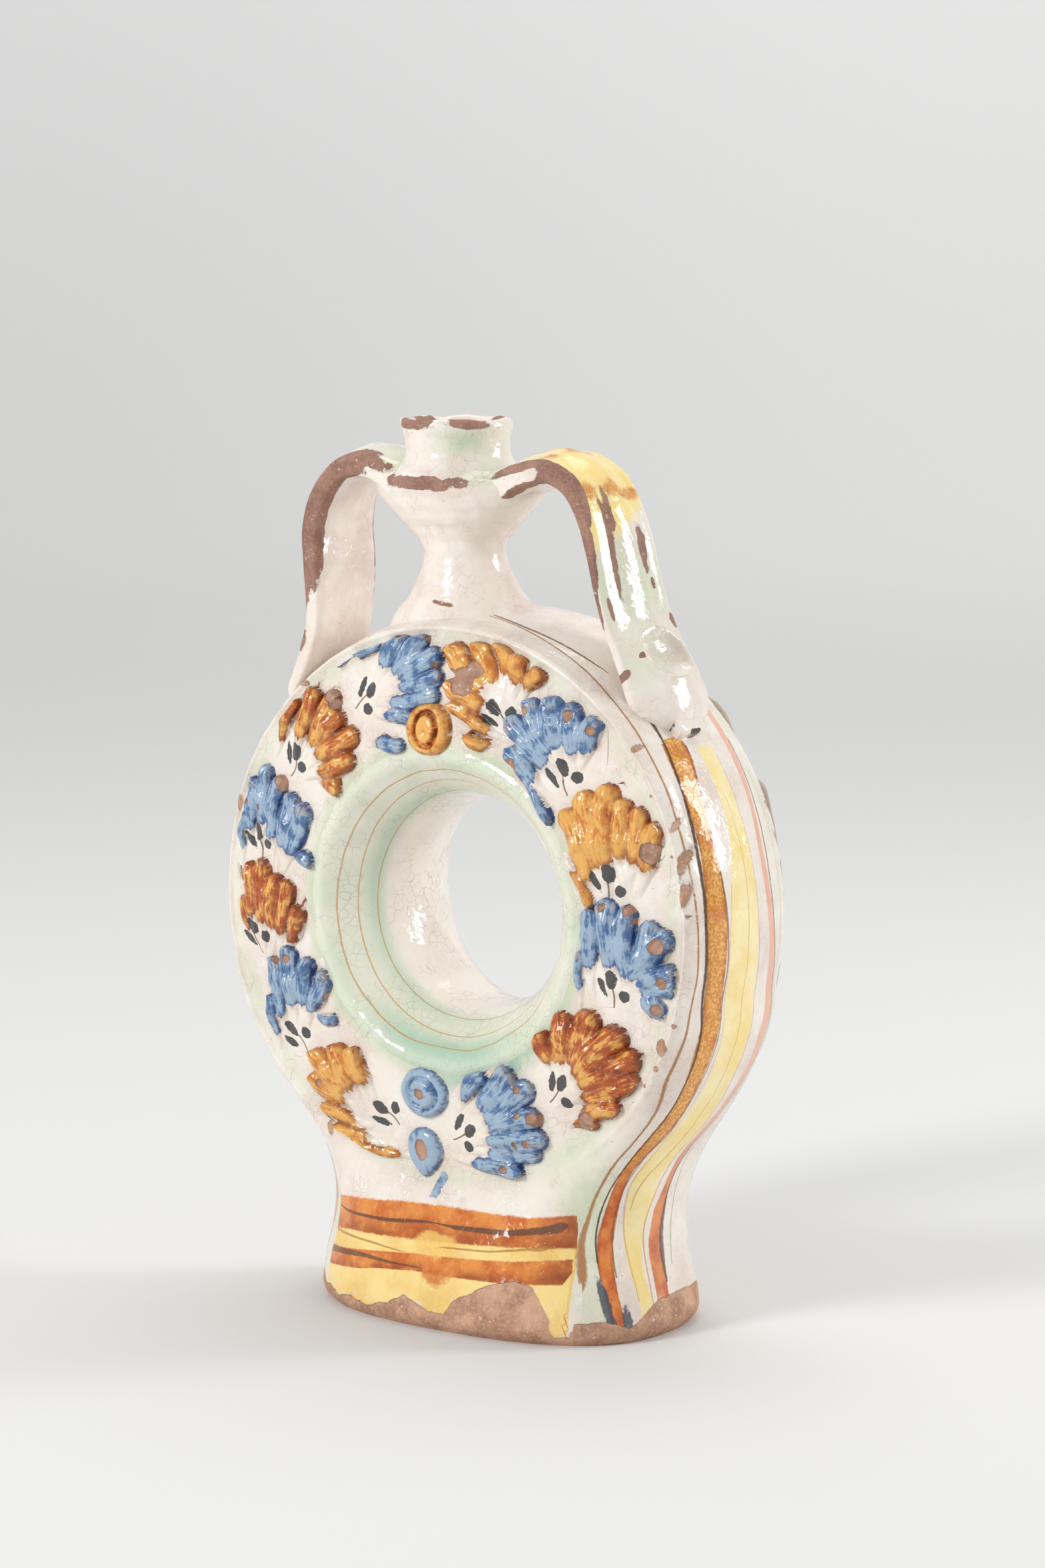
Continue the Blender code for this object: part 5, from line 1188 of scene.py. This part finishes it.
def putOnFaces(word, entries, makeGrid, seeds):  # each leaf or boss on both faces, with its own seed on each
    for number, entry in enumerate(entries):
        name, colour = entry[:2]
        for face, seed in seeds.items():
            grid, keep, fields, stroke = makeGrid(entry, face == "front", seed + number)
            putDown(f"{face}{word}_{name}", grid, facing(grid, grid * [0, 1, 0]), leafMaterials[colour],
                    f"{word.lower()}_{face}_{name}", keep=keep, fields=fields, uv=stroke)


putOnFaces("Leaf", leaves, leafGrid, dict(front=40, back=90))
print("leaves put down")

# bosses: name, colour, kind, x, z, half width, half height, rise
bosses = [("top", "ochre", "eye", -5.0, 199.6, 9.3, 9.0, 4.2),
          ("bottom", "cobalt", "ring", -7.6, 77.7, 9.7, 8.6, 4.0),
          ("drop", "cobalt", "drop", -9.2, 57.0, 7.2, 8.6, 3.4)]


def bossGrid(entry, shown, seed):
    # a low dome on a square patch of the face, cut by its kind's groove: an eye, a coil or none
    name, colour, kind, x, z, wide, high, rise = entry
    a, f = np.meshgrid(*[np.linspace(-1.35, 1.35, 96)] * 2, indexing="ij")
    flat = np.stack([a * wide, f * high, 0 * a], -1)
    narrow = np.where(f < 0, 1 + 0.75 * f ** 2, 1 - 0.1 * f) if kind == "drop" else 1.0
    radius = np.hypot(a * narrow, f) * (1 + 0.05 * lumps(flat, 5, seed))
    dome = rise * np.sqrt(np.clip(1 - radius ** 4, 0, 1))
    chip = np.full_like(a, noPatch)
    # valley marks the grooves and the rim, where the glaze deepens the colour: partly pooled glaze, partly
    # painted shade
    if kind == "eye":
        eye = np.hypot(a * 1.25, f * 0.95)
        pupil = np.hypot(a, f + 0.1)
        dome = dome - 1.9 * hump(eye, 0.6, 0.11) + 0.5 * hump(radius, 0, 0.3) - 0.9 * hump(pupil, 0, 0.13)
        valley = hump(eye, 0.58, 0.16) + 0.6 * hump(radius, 0, 0.2)
    elif kind == "ring":
        coil = 0.6 + 0.07 * np.arctan2(a, f) / math.pi
        dome = dome - 1.5 * hump(radius, coil, 0.1) - 0.5 * hump(radius, 0.0, 0.25)
        valley = 0.55 * hump(radius, coil, 0.1) + 0.3 * hump(radius, 0.95, 0.06)
        chip = 1.7 - radius * wide * 0.9 + 1.1 * lumps(flat, 2.4, seed + 1)
    else:
        valley = 0.5 * hump(radius, 0.9, 0.12)
        chip = 2.5 - np.hypot(a * wide * 1.1, (f - 0.1) * high * 0.75) + 0.8 * lumps(flat, 2.4, seed + 1)
    dome = dome - 0.6 * smoothStep(chip, -0.1, 0.5)
    top = dome + 0.2 * lumps(flat, 2.5, seed + 2) * smoothStep(dome, 0.3, 1) - sprig["sink"]
    fields = dict(painted=(1.03 - radius) * wide, valley=valley, outward=0 * a,
                  tone=0 * a + (0.2 if kind == "eye" else -0.1), petalMark=0 * a + noPatch,
                  stemAcross=0 * a + offMark, bareClay=chip, greenCast=0 * a)
    stroke = np.stack([np.arctan2(a, f) * 4, radius * wide], -1)
    return onFace(x + a * wide, z + f * high, top, shown), top > -sprig["sink"] * 0.9, fields, stroke


putOnFaces("Boss", bosses, bossGrid, dict(front=70, back=70))
print("bosses put down")

# floor, light and camera; glow is what the wall adds and its change to the right
studio = dict(floor=(224, 224, 223), wall=(250, 250, 250), glow=(0.17, 0.05), world=0.61,
              view=(-0.583, 0.8125), flat=(-3500, 2600), bend=1400, wallTop=5000, halfWidth=6000)
# place, target, width and height in metres, watts
lamps = dict(keyLamp=((-0.64, -1.9, 1.1), (0, 0, 0.15), (0.5, 0.75), 24.0),
             sideLamp=((1.2, 1.1, 0.72), (0, 0, 0.15), (0.4, 0.8), 12.0),
             topLamp=((-0.3, 0.5, 1.8), (0, 0, 0.1), (1.2, 0.9), 8.0))
shot = dict(place=(0.82499, -1.13855, 0.36737), look=(-0.57779, 0.80520, -0.13346), lens=97.35, sensor=36,
            reach=50)


def sweep():
    # a floor carried straight back, then along a quarter circle up into a wall far behind
    turn, bend = np.linspace(0.05, 1, 24) * math.pi / 2, studio["bend"]
    start, end = studio["flat"]
    across = np.linspace(-studio["halfWidth"], studio["halfWidth"], 3)[None]
    run = np.concatenate([np.linspace(start, end, 12), end + bend * np.sin(turn), np.full(3, end + bend)])
    rise = np.concatenate([np.zeros(12), bend * (1 - np.cos(turn)), [1800, 3000, studio["wallTop"]]])
    run, rise = run[:, None], rise[:, None]
    east, north = studio["view"]
    grid = np.stack([run * east + across * north, run * north - across * east, rise + 0 * across], -1)
    mesh = bpy.data.meshes.new("studioSweep")
    mesh.from_pydata((grid.reshape(-1, 3) * mm).tolist(), [], quadsOf(*grid.shape[:2])[:, ::-1].tolist())
    mesh.shade_smooth()
    mesh.materials.append(sweepPaper(east, north))
    placed("studioSweep", mesh)


def sweepPaper(east, north):
    # pale paper, by height from the floor's tone to the wall's; the far paper is a little brighter to the
    # camera and in reflections, and lights nothing
    n = glazeTree("studioPaper")
    height = n.make("SeparateXYZ", n.place, out=2)
    colour = n.mix(n.ramp(height, 0.0, 1.2), linear(*studio["floor"]), linear(*studio["wall"]))
    away = n.make("VectorMath", n.place, (east, north, 0), operation="DOT_PRODUCT", out=1)
    toRight = n.make("VectorMath", n.place, (north, -east, 0), operation="DOT_PRODUCT", out=1)
    rays = n.tree.nodes.new("ShaderNodeLightPath").outputs
    seen = n.most(n.most(rays["Is Camera Ray"], rays["Is Glossy Ray"]), rays["Is Transmission Ray"])
    most, change = studio["glow"]
    glow = n.times(n.ramp(away, 0.8, 3.0), n.ramp(toRight, -0.7, 0.7, most - change, most + change))
    for socket, value in {"Emission Strength": n.times(glow, seen), "Emission Color": (1, 1, 1, 1),
                          "Specular IOR Level": 0.0}.items():
        n.feed(n.shader.inputs[socket], value)
    return n.finish(colour, 0.9, n.cloud(3, 1), 0.00001, 0.1)


def aimed(name, data, place, look):  # a lamp or camera at a place, turned along a direction
    made = placed(name, data)
    made.location = place
    made.rotation_euler = Vector(look).to_track_quat("-Z", "Y").to_euler()
    return made


sweep()
for name, (place, target, size, power) in lamps.items():
    light = bpy.data.lights.new(name, "AREA")
    light.shape = "RECTANGLE"
    light.size, light.size_y = size
    light.energy = power
    aimed(name, light, place, Vector(target) - Vector(place))
world = bpy.data.worlds.new("studioWorld")
bpy.context.scene.world = world
world.use_nodes = True
sky = world.node_tree.nodes["Background"]
sky.inputs[0].default_value = (1, 1, 1, 1)
sky.inputs[1].default_value = studio["world"]

camera = bpy.data.cameras.new("camera")
camera.lens, camera.sensor_width, camera.clip_end = shot["lens"], shot["sensor"], shot["reach"]
bpy.context.scene.camera = aimed("camera", camera, shot["place"], shot["look"])
bpy.context.scene.view_settings.view_transform = "Standard"
print("studio set")
